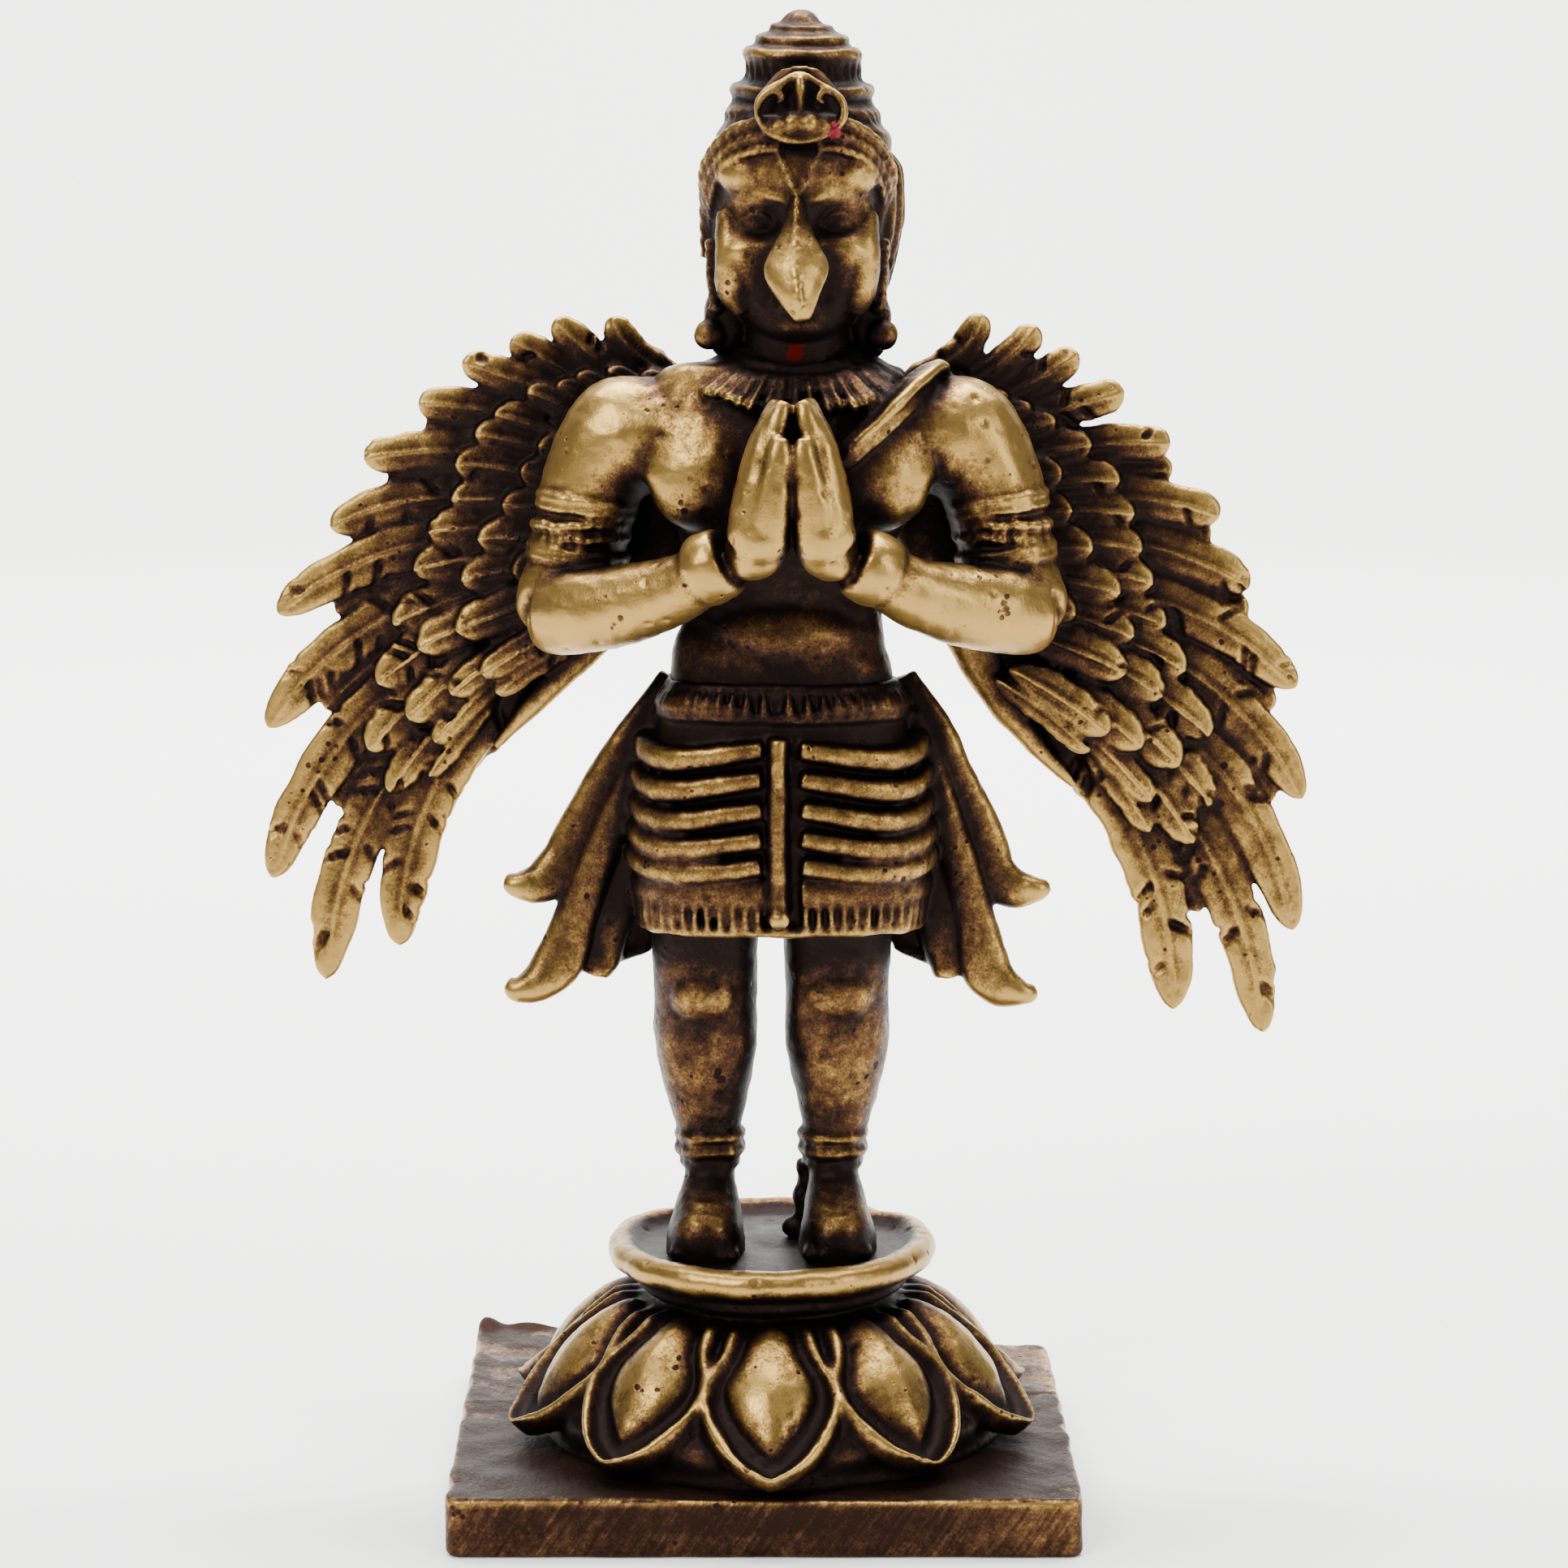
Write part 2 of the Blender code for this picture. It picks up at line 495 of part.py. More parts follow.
def add_wing(bm, hand):
    count = len(feather_tips[hand])
    for i in range(count):
        share = i / (count - 1)
        add_feather(bm, hand, share, 0.0, 1.0, 1.4 + 0.75 * share, 0)
        if i:
            between = (i - 0.5) / (count - 1)
            add_feather(bm, hand, between, 0.05, 0.80 - 0.06 * share, 1.5 + 0.9 * share, -0.7)
    for layer, (number, reach) in enumerate(zip(covert_counts, covert_reach), start=1):
        for i in range(number):
            share = (i + 0.5 * (layer % 2) + 0.25) / number
            add_feather(bm, hand, share, max(reach - covert_length, 0.02), reach, 1.05 + 0.55 * share, layer)
    # Arm of the wing, from the shoulder blade down its inner edge
    x, end = wing_middle(hand), wing_root_end[hand]
    limb(bm, [(x + hand * 3.0, 3.4, 67.5, 2.6, 2.2), (x + hand * 8.5, 4.6, 66.0, 3.0, 1.9),
              (x + hand * 11.5, 4.9, 58.5, 2.6, 1.7), (x + hand * (end[0] - 1.2), 5.2, end[1] + 1.0, 1.6, 1.2),
              (x + hand * (end[0] + 2.8), 5.5, end[1] - 4.5, 1.1, 0.9)], sides=12)


# Sash tails: root, bends and foot of each, then the sideways flick of its end

tail_middle = 0.65
tail_lean = 0.055
sash_tails = (
    ((9.2, 1.6, 46.8), (13.4, 1.4, 40.0), (17.2, 0.8, 31.8), (22.4, 0.2, 29.4), 1.7),
    ((10.2, 1.8, 43.0), (13.8, 1.6, 34.5), (16.7, 1.0, 24.0), (21.8, 0.4, 20.9), 1.7),
    ((9.8, 2.0, 38.0), (11.8, 1.8, 31.0), (13.4, 1.2, 25.6), (14.4, 0.8, 22.6), 1.5),
)


def add_sash(bm, hand):
    def strip(stations, steps=4):
        rows = [(tail_middle + tail_lean * (z - 30) + hand * x, y, z, wide, deep) for x, y, z, wide, deep in stations]
        limb(bm, rows, sides=12, steps=steps)

    for root, bend, foot, tip, half in sash_tails:
        strip([(*root, half * 0.9, 0.9), (*bend, half, 1.0), (*foot, half * 1.4, 1.1),
               (*tip, half * 0.5, 0.5)], steps=5)
        x, y, z = foot
        strip([(x - 0.6, y, z + 2.0, 1.2, 0.9), (x + 0.4, y, z - 1.2, 1.6, 1.0), (x + 1.5, y, z - 3.1, 1.0, 0.7)])
    # Web that the tails are cast on
    strip([(8.2, 2.4, 46.0, 1.2, 0.6), (11.0, 2.3, 39.0, 2.6, 0.6), (12.8, 2.0, 32.0, 3.2, 0.6),
           (13.4, 1.7, 25.8, 2.0, 0.6)])


def plinth_body(name):
    half = plinth_width / 2
    left, right = plinth_shift - half, plinth_shift + half
    back = plinth_depth - plinth_front
    corners = [(left, -plinth_front), (right, -plinth_front), (right, back - plinth_slant), (left - plinth_flare, back)]
    bm = bmesh.new()
    base = bm.faces.new([bm.verts.new((x, y, 0)) for x, y in corners])
    up = bmesh.ops.extrude_face_region(bm, geom=[base])["geom"]
    bmesh.ops.translate(bm, verts=[v for v in up if isinstance(v, bmesh.types.BMVert)], vec=(0, 0, plinth_thickness))
    upright = [e for e in bm.edges if abs(e.verts[0].co.z - e.verts[1].co.z) > plinth_thickness / 2]
    bmesh.ops.bevel(bm, geom=upright, offset=plinth_corner_radius, segments=3, profile=0.5, affect="EDGES")
    bmesh.ops.recalc_face_normals(bm, faces=bm.faces)
    rims = [e for e in bm.edges if len(e.link_faces) == 2 and abs(e.verts[0].co.z - e.verts[1].co.z) < 1e-9]
    bmesh.ops.bevel(bm, geom=rims, offset=plinth_edge_radius, segments=2, profile=0.5, affect="EDGES")
    mesh = bpy.data.meshes.new(name)
    bm.to_mesh(mesh)
    bm.free()
    guide = bpy.data.objects.new(name, mesh)
    guide.hide_render = True
    guide.display_type = "WIRE"
    bpy.context.collection.objects.link(guide)
    return guide


def brass():
    material = bpy.data.materials.new("antique_brass")
    material.use_nodes = True
    shader = material.node_tree.nodes["Principled BSDF"]
    shader.inputs["Base Color"].default_value = (0.38, 0.24, 0.08, 1.0)
    shader.inputs["Metallic"].default_value = 1.0
    shader.inputs["Roughness"].default_value = 0.38
    return material


def build_statue():
    bm = bmesh.new()
    add_lotus(bm)
    add_disc(bm)
    add_legs(bm)
    add_skirt(bm)
    add_torso(bm)
    add_necklace(bm)
    add_head(bm)
    add_crown(bm)
    for hand in (-1, 1):
        add_arm(bm, hand)
        add_wing(bm, hand)
        add_sash(bm, hand)
    bmesh.ops.recalc_face_normals(bm, faces=bm.faces)
    mesh = bpy.data.meshes.new("garuda_statue")
    bm.to_mesh(mesh)
    bm.free()
    statue = bpy.data.objects.new("garuda_statue", mesh)
    bpy.context.collection.objects.link(statue)
    mesh.materials.append(brass())
    fuse = statue.modifiers.new("fuse", "REMESH")
    fuse.mode = "VOXEL"
    fuse.voxel_size = grain
    scene_now = bpy.context.evaluated_depsgraph_get()
    fused = statue.evaluated_get(scene_now).to_mesh()
    triangles = sum(len(face.vertices) - 2 for face in fused.polygons)
    statue.evaluated_get(scene_now).to_mesh_clear()
    thin = statue.modifiers.new("thin", "DECIMATE")
    thin.ratio = min(triangle_budget / triangles, 1.0)
    stand = statue.modifiers.new("stand", "BOOLEAN")
    stand.operation = "UNION"
    stand.object = plinth_body("plinth_guide")
    return statue


for thing in list(bpy.data.objects):
    bpy.data.objects.remove(thing)
build_statue()
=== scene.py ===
import math

import bpy
import numpy as np
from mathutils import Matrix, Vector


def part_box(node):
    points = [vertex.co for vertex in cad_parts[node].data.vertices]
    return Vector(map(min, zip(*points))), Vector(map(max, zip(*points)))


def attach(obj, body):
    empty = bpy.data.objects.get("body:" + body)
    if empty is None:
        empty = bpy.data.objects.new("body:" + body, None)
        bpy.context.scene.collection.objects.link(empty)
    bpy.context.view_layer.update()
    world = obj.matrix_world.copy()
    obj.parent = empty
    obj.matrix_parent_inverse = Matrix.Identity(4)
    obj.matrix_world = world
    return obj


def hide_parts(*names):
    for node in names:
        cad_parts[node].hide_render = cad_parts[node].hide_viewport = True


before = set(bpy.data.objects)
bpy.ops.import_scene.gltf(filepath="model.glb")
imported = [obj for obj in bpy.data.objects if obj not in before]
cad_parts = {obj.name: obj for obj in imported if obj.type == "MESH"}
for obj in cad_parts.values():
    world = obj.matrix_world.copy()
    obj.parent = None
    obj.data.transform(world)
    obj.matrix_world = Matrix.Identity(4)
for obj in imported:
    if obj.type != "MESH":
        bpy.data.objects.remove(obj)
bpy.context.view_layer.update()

mm = 0.001
lowCorner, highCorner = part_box("garuda_statue")
statueHeight = highCorner.z - lowCorner.z
discTop = 14.7 * mm / (90.1 * mm) * statueHeight   # height of the disc's flat under the feet
figureHeight = statueHeight - discTop
hundredth = figureHeight / 100                      # the figure is drawn in hundredths of its height
coarse = 1.0
chance = np.random.default_rng(11)


# Surfaces. Each returns its points and triangles as whole arrays.

def unitRows(rows):
    # Each row over its own length
    return rows / np.maximum(np.linalg.norm(rows, axis=-1, keepdims=True), 1e-12)


def bump(value, middle, width):
    # Bell: e to the power of minus the square of how many widths the value is from the middle
    return np.exp(-((value - middle) / width) ** 2)


def ease(value):
    # From 0 to 1 without a corner: 3 v squared less 2 v cubed
    value = np.clip(value, 0, 1)
    return value * value * (3 - 2 * value)


def flow(stations, steps):
    # Catmull-Rom curve through the stations, the same number of steps in each span
    rows = np.array(stations, dtype=float)
    ends = np.vstack([2 * rows[0] - rows[1], rows, 2 * rows[-1] - rows[-2]])
    t = np.arange(steps)[:, None] / steps
    spans = []
    for a, b, c, d in zip(ends, ends[1:], ends[2:], ends[3:]):
        curve = 2 * b + (c - a) * t + (2 * a - 5 * b + 4 * c - d) * t**2 + (3 * b - a - 3 * c + d) * t**3
        spans.append(0.5 * curve)
    return np.vstack(spans + [rows[-1:]])


def gridFaces(rows, columns, closedAlong=False):
    # Two triangles for each cell of a grid that closes across, and along too if asked
    i = np.arange(rows if closedAlong else rows - 1)[:, None]
    j = np.arange(columns)
    nextI, nextJ = (i + 1) % rows, (j + 1) % columns
    a, b = (i * columns + j).ravel(), (i * columns + nextJ).ravel()
    c, d = (nextI * columns + j).ravel(), (nextI * columns + nextJ).ravel()
    return np.concatenate([np.stack([a, b, d], 1), np.stack([a, d, c], 1)])


def ringSkin(rings):
    # Skin over rings of points, with a pole in the middle of the first and of the last
    rows, columns = rings.shape[:2]
    points = np.vstack([rings.reshape(-1, 3), rings[0].mean(0), rings[-1].mean(0)])
    j = np.arange(columns)
    after = (j + 1) % columns
    last = (rows - 1) * columns
    low = np.stack([after, j, np.full(columns, rows * columns)], 1)
    high = np.stack([last + j, last + after, np.full(columns, rows * columns + 1)], 1)
    return points, np.concatenate([gridFaces(rows, columns), low, high])


def tube(stations, facing=(0, 1, 0), sides=32, squareness=2.0, steps=8, relief=None):
    # Super-ellipse carried along a smooth line. Stations: x, y, z, half width, half depth.
    # Relief pushes a point out of the section by an amount worked out from (share along, turn, place).
    rows = flow(stations, steps)
    rows[:, 3:] = np.maximum(rows[:, 3:], 0.02)
    along = unitRows(np.gradient(rows[:, :3], axis=0))
    across = unitRows(np.cross(along, np.broadcast_to(facing, along.shape)))
    through = np.cross(across, along)
    turn = np.linspace(0, 2 * math.pi, sides, endpoint=False)
    bend = 2.0 / squareness
    side = np.sign(np.cos(turn)) * np.abs(np.cos(turn)) ** bend
    front = np.sign(np.sin(turn)) * np.abs(np.sin(turn)) ** bend
    outward = across[:, None] * side[None, :, None] * rows[:, None, 3:4]
    outward = outward + through[:, None] * front[None, :, None] * rows[:, None, 4:5]
    rings = rows[:, None, :3] + outward
    if relief is not None:
        share = np.linspace(0, 1, len(rows))[:, None]
        rings = rings + unitRows(outward) * relief(share, turn[None, :], rings)[..., None]
    return ringSkin(rings)


def loop(points, radius, sides=14):
    # Round bar along a closed line; radius is one number or one for each point
    points = np.array(points, dtype=float)
    radius = np.broadcast_to(radius, len(points))
    along = unitRows(np.roll(points, -1, 0) - np.roll(points, 1, 0))
    out = points - points.mean(0)
    out = unitRows(out - along * (out * along).sum(1, keepdims=True))
    up = np.cross(along, out)
    turn = np.linspace(0, 2 * math.pi, sides, endpoint=False)
    rings = out[:, None] * np.cos(turn)[None, :, None] + up[:, None] * np.sin(turn)[None, :, None]
    rings = points[:, None] + rings * radius[:, None, None]
    return rings.reshape(-1, 3), gridFaces(len(points), sides, closedAlong=True)


def hoop(centre, axis, radius, thick, steps=72, lump=0.0):
    # Ring square to an axis; lump makes its thickness uneven
    axis = unitRows(np.array([axis], dtype=float))[0]
    first = unitRows(np.cross(axis, (0, 1, 0))[None])[0]
    second = np.cross(axis, first)
    turn = np.linspace(0, 2 * math.pi, steps, endpoint=False)
    line = np.array(centre) + radius * (np.cos(turn)[:, None] * first + np.sin(turn)[:, None] * second)
    uneven = 1 + lump * (np.sin(5 * turn + radius) + np.sin(11 * turn + 2) * 0.6)
    return loop(line, thick * uneven)


def ball(x, y, z, wide, deep=None, tall=None, sides=24):
    # Ellipsoid: rings at even leans, as wide as the lean's cosine and as high as its sine
    deep = wide if deep is None else deep
    tall = wide if tall is None else tall
    turn = np.linspace(0, 2 * math.pi, sides, endpoint=False)
    lean = np.linspace(-math.pi / 2, math.pi / 2, sides // 2 + 1)[1:-1]
    rings = np.stack([
        x + wide * np.cos(lean)[:, None] * np.cos(turn),
        y + deep * np.cos(lean)[:, None] * np.sin(turn),
        z + tall * np.sin(lean)[:, None] + 0 * turn,
    ], axis=-1)
    return ringSkin(rings)


def lathe(profile, centre=(0, 0), depthShare=1.0, sides=240, steps=1, relief=None):
    # Profile of (radius, height), lowest first, turned about an upright axis
    rows = flow(profile, steps)
    turn = np.linspace(0, 2 * math.pi, sides, endpoint=False)
    radius = rows[:, :1] + 0 * turn
    if relief is not None:
        radius = radius + relief(turn[None, :], rows[:, 1:2])
    rings = np.stack([
        centre[0] + radius * np.cos(turn),
        centre[1] + radius * np.sin(turn) * depthShare,
        rows[:, 1:2] + 0 * radius,
    ], axis=-1)
    return ringSkin(rings)


def sheet(middle, across, out, half, top, bottom, edge=4.0, cells=30):
    # Leaf along a line: half its width, and its height over and under the line, each an array of
    # (share along) by (place across, -1 to 1). Its edge closes as a super-ellipse.
    v = np.sin(np.linspace(-1, 1, cells) * math.pi / 2)
    fall = np.clip(1 - np.abs(v) ** edge, 0, 1) ** (1 / edge)
    u = np.linspace(0, 1, len(middle))[:, None]
    wide = half(u, v)[..., None] * v[None, :, None]
    over = (top(u, v) * fall)[..., None]
    under = (bottom(u, v) * fall)[..., None]
    upper = middle[:, None] + across[:, None] * wide + out[:, None] * over
    lower = middle[:, None] + across[:, None] * wide - out[:, None] * under
    return ringSkin(np.concatenate([upper, lower[:, ::-1][:, 1:-1]], axis=1))


def joined(parts):
    points, faces, start = [], [], 0
    for partPoints, partFaces in parts:
        points.append(partPoints)
        faces.append(partFaces + start)
        start += len(partPoints)
    return np.vstack(points), np.vstack(faces)


def onDisc(points):
    # From hundredths of the figure's height over the disc to metres
    return points * hundredth + np.array([0, 0, discTop])


# Casting: the parts of a piece are fused into one skin, evened, made uneven as sand and wax leave it,
# pitted, and thinned. Voxel is in mm, wobble and skinNoise are the waves' heights in mm.

def objectFrom(name, points, faces):
    # The arrays go straight into a mesh, at the origin
    mesh = bpy.data.meshes.new(name)
    mesh.vertices.add(len(points))
    mesh.vertices.foreach_set("co", np.asarray(points, np.float32).ravel())
    mesh.loops.add(len(faces) * 3)
    mesh.loops.foreach_set("vertex_index", np.asarray(faces, np.int32).ravel())
    mesh.polygons.add(len(faces))
    mesh.polygons.foreach_set("loop_start", np.arange(0, len(faces) * 3, 3, dtype=np.int32))
    mesh.polygons.foreach_set("use_smooth", np.ones(len(faces), bool))
    mesh.update(calc_edges=True)
    mesh.validate()
    obj = bpy.data.objects.new(name, mesh)
    bpy.context.scene.collection.objects.link(obj)
    return obj


def triangleCount(mesh):
    return sum(len(face.vertices) - 2 for face in mesh.polygons)


def readArray(source, field, width, kind=np.float32):
    # One row for each item
    flat = np.empty(len(source) * width, kind)
    source.foreach_get(field, flat)
    return flat.reshape(-1, width)


def evened(points, edges, rounds):
    # Each point goes to the mean of its neighbours, again and again
    a, b = edges.T
    total = len(points)
    count = np.maximum(np.bincount(a, minlength=total) + np.bincount(b, minlength=total), 1)
    for _ in range(rounds):
        points = np.column_stack([
            (np.bincount(a, points[b, k], total) + np.bincount(b, points[a, k], total)) / count for k in range(3)
        ])
    return points


def waves(points, longest, shortest, number, stream):
    # Sum of plane waves in random directions, each as high as its length over the longest
    total = np.zeros(len(points))
    for length in np.geomspace(longest, shortest, number):
        way = unitRows(stream.normal(size=(1, 3)))[0]
        total += (length / longest) * np.sin(points @ way * (2 * math.pi / length) + stream.uniform(0, 6.28))
    return total


def bake(obj):
    # The modifiers' result becomes the object's own mesh
    result = bpy.data.meshes.new_from_object(obj.evaluated_get(bpy.context.evaluated_depsgraph_get()))
    spent = obj.data
    obj.modifiers.clear()
    obj.data = result
    bpy.data.meshes.remove(spent)


def cast(name, parts, voxel, triangles, place=onDisc, evening=2, wobble=0.08, skinNoise=0.014, pits=0):
    points, faces = joined(parts)
    stream = np.random.default_rng(len(name) * 7 + len(points) % 97)
    obj = objectFrom(name, place(points), faces)
    fuse = obj.modifiers.new("fuse", "REMESH")
    fuse.mode = "VOXEL"
    fuse.voxel_size = voxel * mm * coarse
    bake(obj)
    mesh = obj.data
    points = readArray(mesh.vertices, "co", 3).astype(float)
    edges = readArray(mesh.edges, "vertices", 2, np.int32)
    smooth = evened(points, edges, evening)
    bent = [waves(smooth, 14 * mm, 6 * mm, 4, stream) for _ in range(3)]
    smooth = smooth + np.column_stack(bent) * wobble * mm * 0.4
    mesh.vertices.foreach_set("co", smooth.astype(np.float32).ravel())
    mesh.update()
    normals = readArray(mesh.vertex_normals, "vector", 3).astype(float)
    height = waves(smooth, 3.2 * mm, 0.5 * mm, 16, stream) * skinNoise * mm
    for _ in range(pits):
        spot = smooth[stream.integers(len(smooth))]
        size = stream.uniform(0.12, 0.26) * mm
        close = np.nonzero(np.abs(smooth[:, 0] - spot[0]) < 3 * size)[0]
        gap = ((smooth[close] - spot) ** 2).sum(1)
        height[close] -= 0.45 * size * np.exp(-gap / size**2)
    smooth = smooth + normals * height[:, None]
    mesh.vertices.foreach_set("co", smooth.astype(np.float32).ravel())
    mesh.update()
    count = triangleCount(mesh)
    if count > triangles:
        thin = obj.modifiers.new("thin", "DECIMATE")
        thin.ratio = triangles / count
        bake(obj)
    obj.data.polygons.foreach_set("use_smooth", np.ones(len(obj.data.polygons), bool))
    obj.data.update()
    print(name, "fused", count, "kept", triangleCount(obj.data))
    return obj


# Head with its crown

head = {"axis": 2.1, "crownAxis": 2.62, "crestAxis": 2.25, "crestFront": -6.9, "crestHeight": 91.75,
        "voxel": 0.125, "triangles": 150000}


def faceRelief(share, turn, place):
    # Sum of bells over the front of the head, some in and some out
    x, y, z = place[..., 0] - head["axis"], place[..., 1], place[..., 2]
    m = np.abs(x)
    front = ease((-y - 0.5) / 2.5)
    relief = -1.7 * bump(m, 3.1, 1.6) * bump(z, 83.3, 1.15)         # eye sockets
    relief += 0.95 * bump(m, 4.9, 1.6) * bump(z, 80.2, 2.3)         # cheeks
    relief -= 1.15 * bump(m, 2.5, 1.25) * bump(z, 78.6, 1.9)        # hollows beside the beak
    relief += 0.45 * bump(m, 0, 4.2) * bump(z, 87.3, 1.8)           # forehead
    relief += 0.30 * bump(m, 0, 1.6) * bump(z, 75.0, 0.7)           # chin
    relief -= 0.30 * bump(m, 0, 1.8) * bump(z, 76.2, 0.45)          # mouth
    relief -= 0.25 * bump(m, 5.9, 0.9) * bump(z, 84.4, 1.2)         # temples
    return relief * front


def ropeRelief(height, strands, pitch):
    # Twist: a sine of the turn, carried on by the share of the length
    def relief(share, turn, place):
        return height * np.sin(strands * turn + share * pitch)
    return relief


def headParts():
    c = head["axis"]
    parts = [
        tube([(c, -2.6, 73.4, 1.4, 1.5), (c, -2.3, 74.8, 3.5, 3.5), (c, -1.5, 77.0, 5.15, 5.0),
              (c, -0.7, 79.8, 6.25, 6.0), (c, -0.4, 82.5, 6.6, 6.25), (c, -0.2, 86.0, 6.6, 6.5),
              (c, 0.0, 89.0, 6.5, 6.6), (c, 0.2, 91.0, 5.8, 6.0)],
             sides=200, squareness=2.2, steps=28, relief=faceRelief),
        tube([(c, 0.2, 69.5, 5.2, 4.6), (c, -0.1, 72.5, 4.4, 4.1), (c, -0.4, 76.8, 4.1, 4.2)], sides=64),
        # Hair, in upright locks that bulge more on the right
        tube([(c + 0.1, 2.0, 71.5, 6.3, 3.4), (c + 0.1, 2.2, 76.5, 6.0, 4.2), (c + 0.65, 2.1, 80.3, 7.1, 5.2),
              (c + 0.72, 1.9, 84.2, 7.9, 6.0), (c + 0.4, 1.7, 88.0, 7.7, 5.6), (c + 0.5, 1.4, 91.2, 5.6, 4.4)],
             sides=180, steps=14, relief=lambda share, turn, place: 0.16 * np.cos(26 * turn) - 0.1),
    ]
    beak = [(c - 0.05, -6.2, 85.9, 0.5, 0.7), (c - 0.1, -6.8, 84.3, 0.78, 0.9), (c - 0.1, -7.3, 82.9, 1.15, 1.1),
            (c - 0.1, -7.9, 81.4, 1.85, 1.35), (c - 0.05, -8.5, 80.0, 2.50, 1.55), (c, -8.95, 79.0, 2.42, 1.55),
            (c + 0.1, -9.4, 77.8, 1.82, 1.4), (c + 0.25, -9.75, 76.6, 1.18, 1.0), (c + 0.4, -9.8, 75.7, 0.62, 0.5)]
    parts.append(tube(beak, sides=96, squareness=1.55, steps=14))

    def pitted(share, turn, place):      # product of two sines along the ridge
        return 0.12 * np.sin(share * 143) * np.sin(share * 61 + 1) + 0.07 * np.sin(share * 210 + turn)

    ridge = [(x, y - deep - 0.02, z, 0.15 + 0.14 * (i > 2), 0.16) for i, (x, y, z, _, deep) in enumerate(beak[:-1])]
    parts.append(tube(ridge, sides=16, steps=40, relief=pitted))
    for hand in (-1, 1):
        def at(m):
            return c + hand * m
        parts += [
            ball(at(3.15), -4.35, 83.25, 1.35, 0.95, 0.85),
            tube([(at(1.6), -4.95, 82.8, 0.2, 0.2), (at(2.5), -5.25, 83.75, 0.26, 0.3),
                  (at(3.4), -5.15, 84.0, 0.28, 0.3), (at(4.4), -4.55, 83.5, 0.22, 0.25),
                  (at(5.0), -3.9, 82.9, 0.15, 0.2)], sides=14),
            tube([(at(1.6), -4.95, 82.7, 0.2, 0.2), (at(2.6), -5.15, 82.15, 0.26, 0.28),
                  (at(3.7), -4.9, 82.1, 0.26, 0.28), (at(5.0), -3.9, 82.7, 0.15, 0.2)], sides=14),
            tube([(at(0.7), -6.45, 84.8, 0.45, 0.5), (at(1.9), -6.1, 85.5, 0.72, 0.65), (at(3.3), -5.4, 85.9, 0.9, 0.7),
                  (at(4.6), -4.2, 85.1, 0.75, 0.6), (at(5.5), -3.1, 83.8, 0.5, 0.4)], sides=30),
            # Forehead over the brow
            ball(at(3.0), -3.7, 87.0, 3.3, 2.6, 2.3, sides=60),
            tube([(at(1.85), -6.72, 89.1, 0.20, 0.3), (at(1.1), -7.0, 87.5, 0.22, 0.32),
                  (at(0.3), -7.0, 85.6, 0.2, 0.3)],
                 sides=14, steps=12, relief=lambda share, turn, place: 0.05 * np.sin(share * 40) + 0 * turn),
            tube([(at(5.5), -2.7, 84.0, 0.9, 1.2), (at(5.2), -3.5, 82.0, 1.30, 1.5), (at(4.9), -3.9, 80.3, 1.60, 1.6),
                  (at(4.9), -3.4, 78.2, 1.45, 1.6), (at(4.3), -2.9, 76.4, 1.0, 1.2)], sides=44, steps=14),
        ]
        # Three ropes from under the crest to the ear
        for lift, reach, thick in ((0.0, 6.55, 0.44), (1.05, 6.9, 0.48), (2.1, 7.2, 0.50)):
            parts.append(tube(
                [(at(1.4), -7.0, 88.95 + lift, thick, thick), (at(3.2), -6.55, 88.9 + lift, thick, thick),
                 (at(5.5), -4.9, 87.9 + lift, thick, thick), (at(reach), -2.4, 85.6 + lift, thick, thick),
                 (at(reach + 0.1), -0.4, 83.0 + lift * 0.8, thick, thick), (at(reach), 1.0, 80.6, thick, thick)],
                sides=24, steps=26, relief=ropeRelief(0.05, 2, 105.0 * hand)))
        for bead in range(7):
            parts.append(ball(at(6.75 - 0.05 * bead + 0.10 * (bead % 2)), -2.4 + 0.05 * bead, 81.6 - 0.82 * bead,
                              0.60 - 0.05 * (bead % 2), sides=16))
        parts += [
            ball(at(6.87 - 0.12 * hand), -1.9, 74.5, 1.26, 1.1, 1.22),
            ball(at(6.8), -1.6, 76.1, 0.62, sides=16),
            ball(at(6.5), -0.4, 79.3, 0.8, 1.6, 2.2),
            ball(at(5.6), 0.4, 75.6, 1.9, 2.4, 3.2, sides=40),
        ]
    # Crown: stepped rings, a fluted band under them and plainer bands at its foot
    x = head["crownAxis"]
    profile = ((6.7, 88.0), (6.9, 90.0), (6.6, 90.6), (6.3, 90.9), (6.15, 91.3), (6.2, 91.8), (6.0, 92.2),
               (5.7, 92.5), (5.5, 93.1), (5.65, 93.35), (5.75, 93.7), (5.6, 94.1), (5.0, 94.3), (4.6, 94.6),
               (4.5, 95.3), (4.5, 96.0), (4.65, 96.25), (4.7, 96.6), (4.5, 97.0), (3.95, 97.15), (3.7, 97.4),
               (3.75, 97.7), (3.55, 98.0), (2.85, 98.2), (2.55, 98.45), (2.4, 98.8), (1.75, 98.95), (1.4, 99.3),
               (1.0, 99.7), (0.4, 100.0))

    def crownRelief(turn, z):            # flutes, beads and a rope, each a sine of the turn at its own height
        flutes = 0.13 * np.cos(30 * turn) * bump(z, 95.3, 0.55)
        beads = 0.10 * np.cos(38 * turn) * bump(z, 94.6, 0.28)
        ropes = 0.10 * np.sin(34 * turn + z * 5) * bump(z, 91.4, 0.7)
        uneven = 0.08 * np.sin(3 * turn + z) + 0.05 * np.sin(7 * turn + 2 * z)
        return flutes + beads + ropes + uneven

    crown, crownFaces = lathe(profile, (x - 0.1, 0.2), sides=320, steps=5, relief=crownRelief)
    crown[:, 2] += 0.10 * crown[:, 1] * ease((crown[:, 2] - 91) / 3)     # the tiers dip to the front
    parts.append((crown, crownFaces))
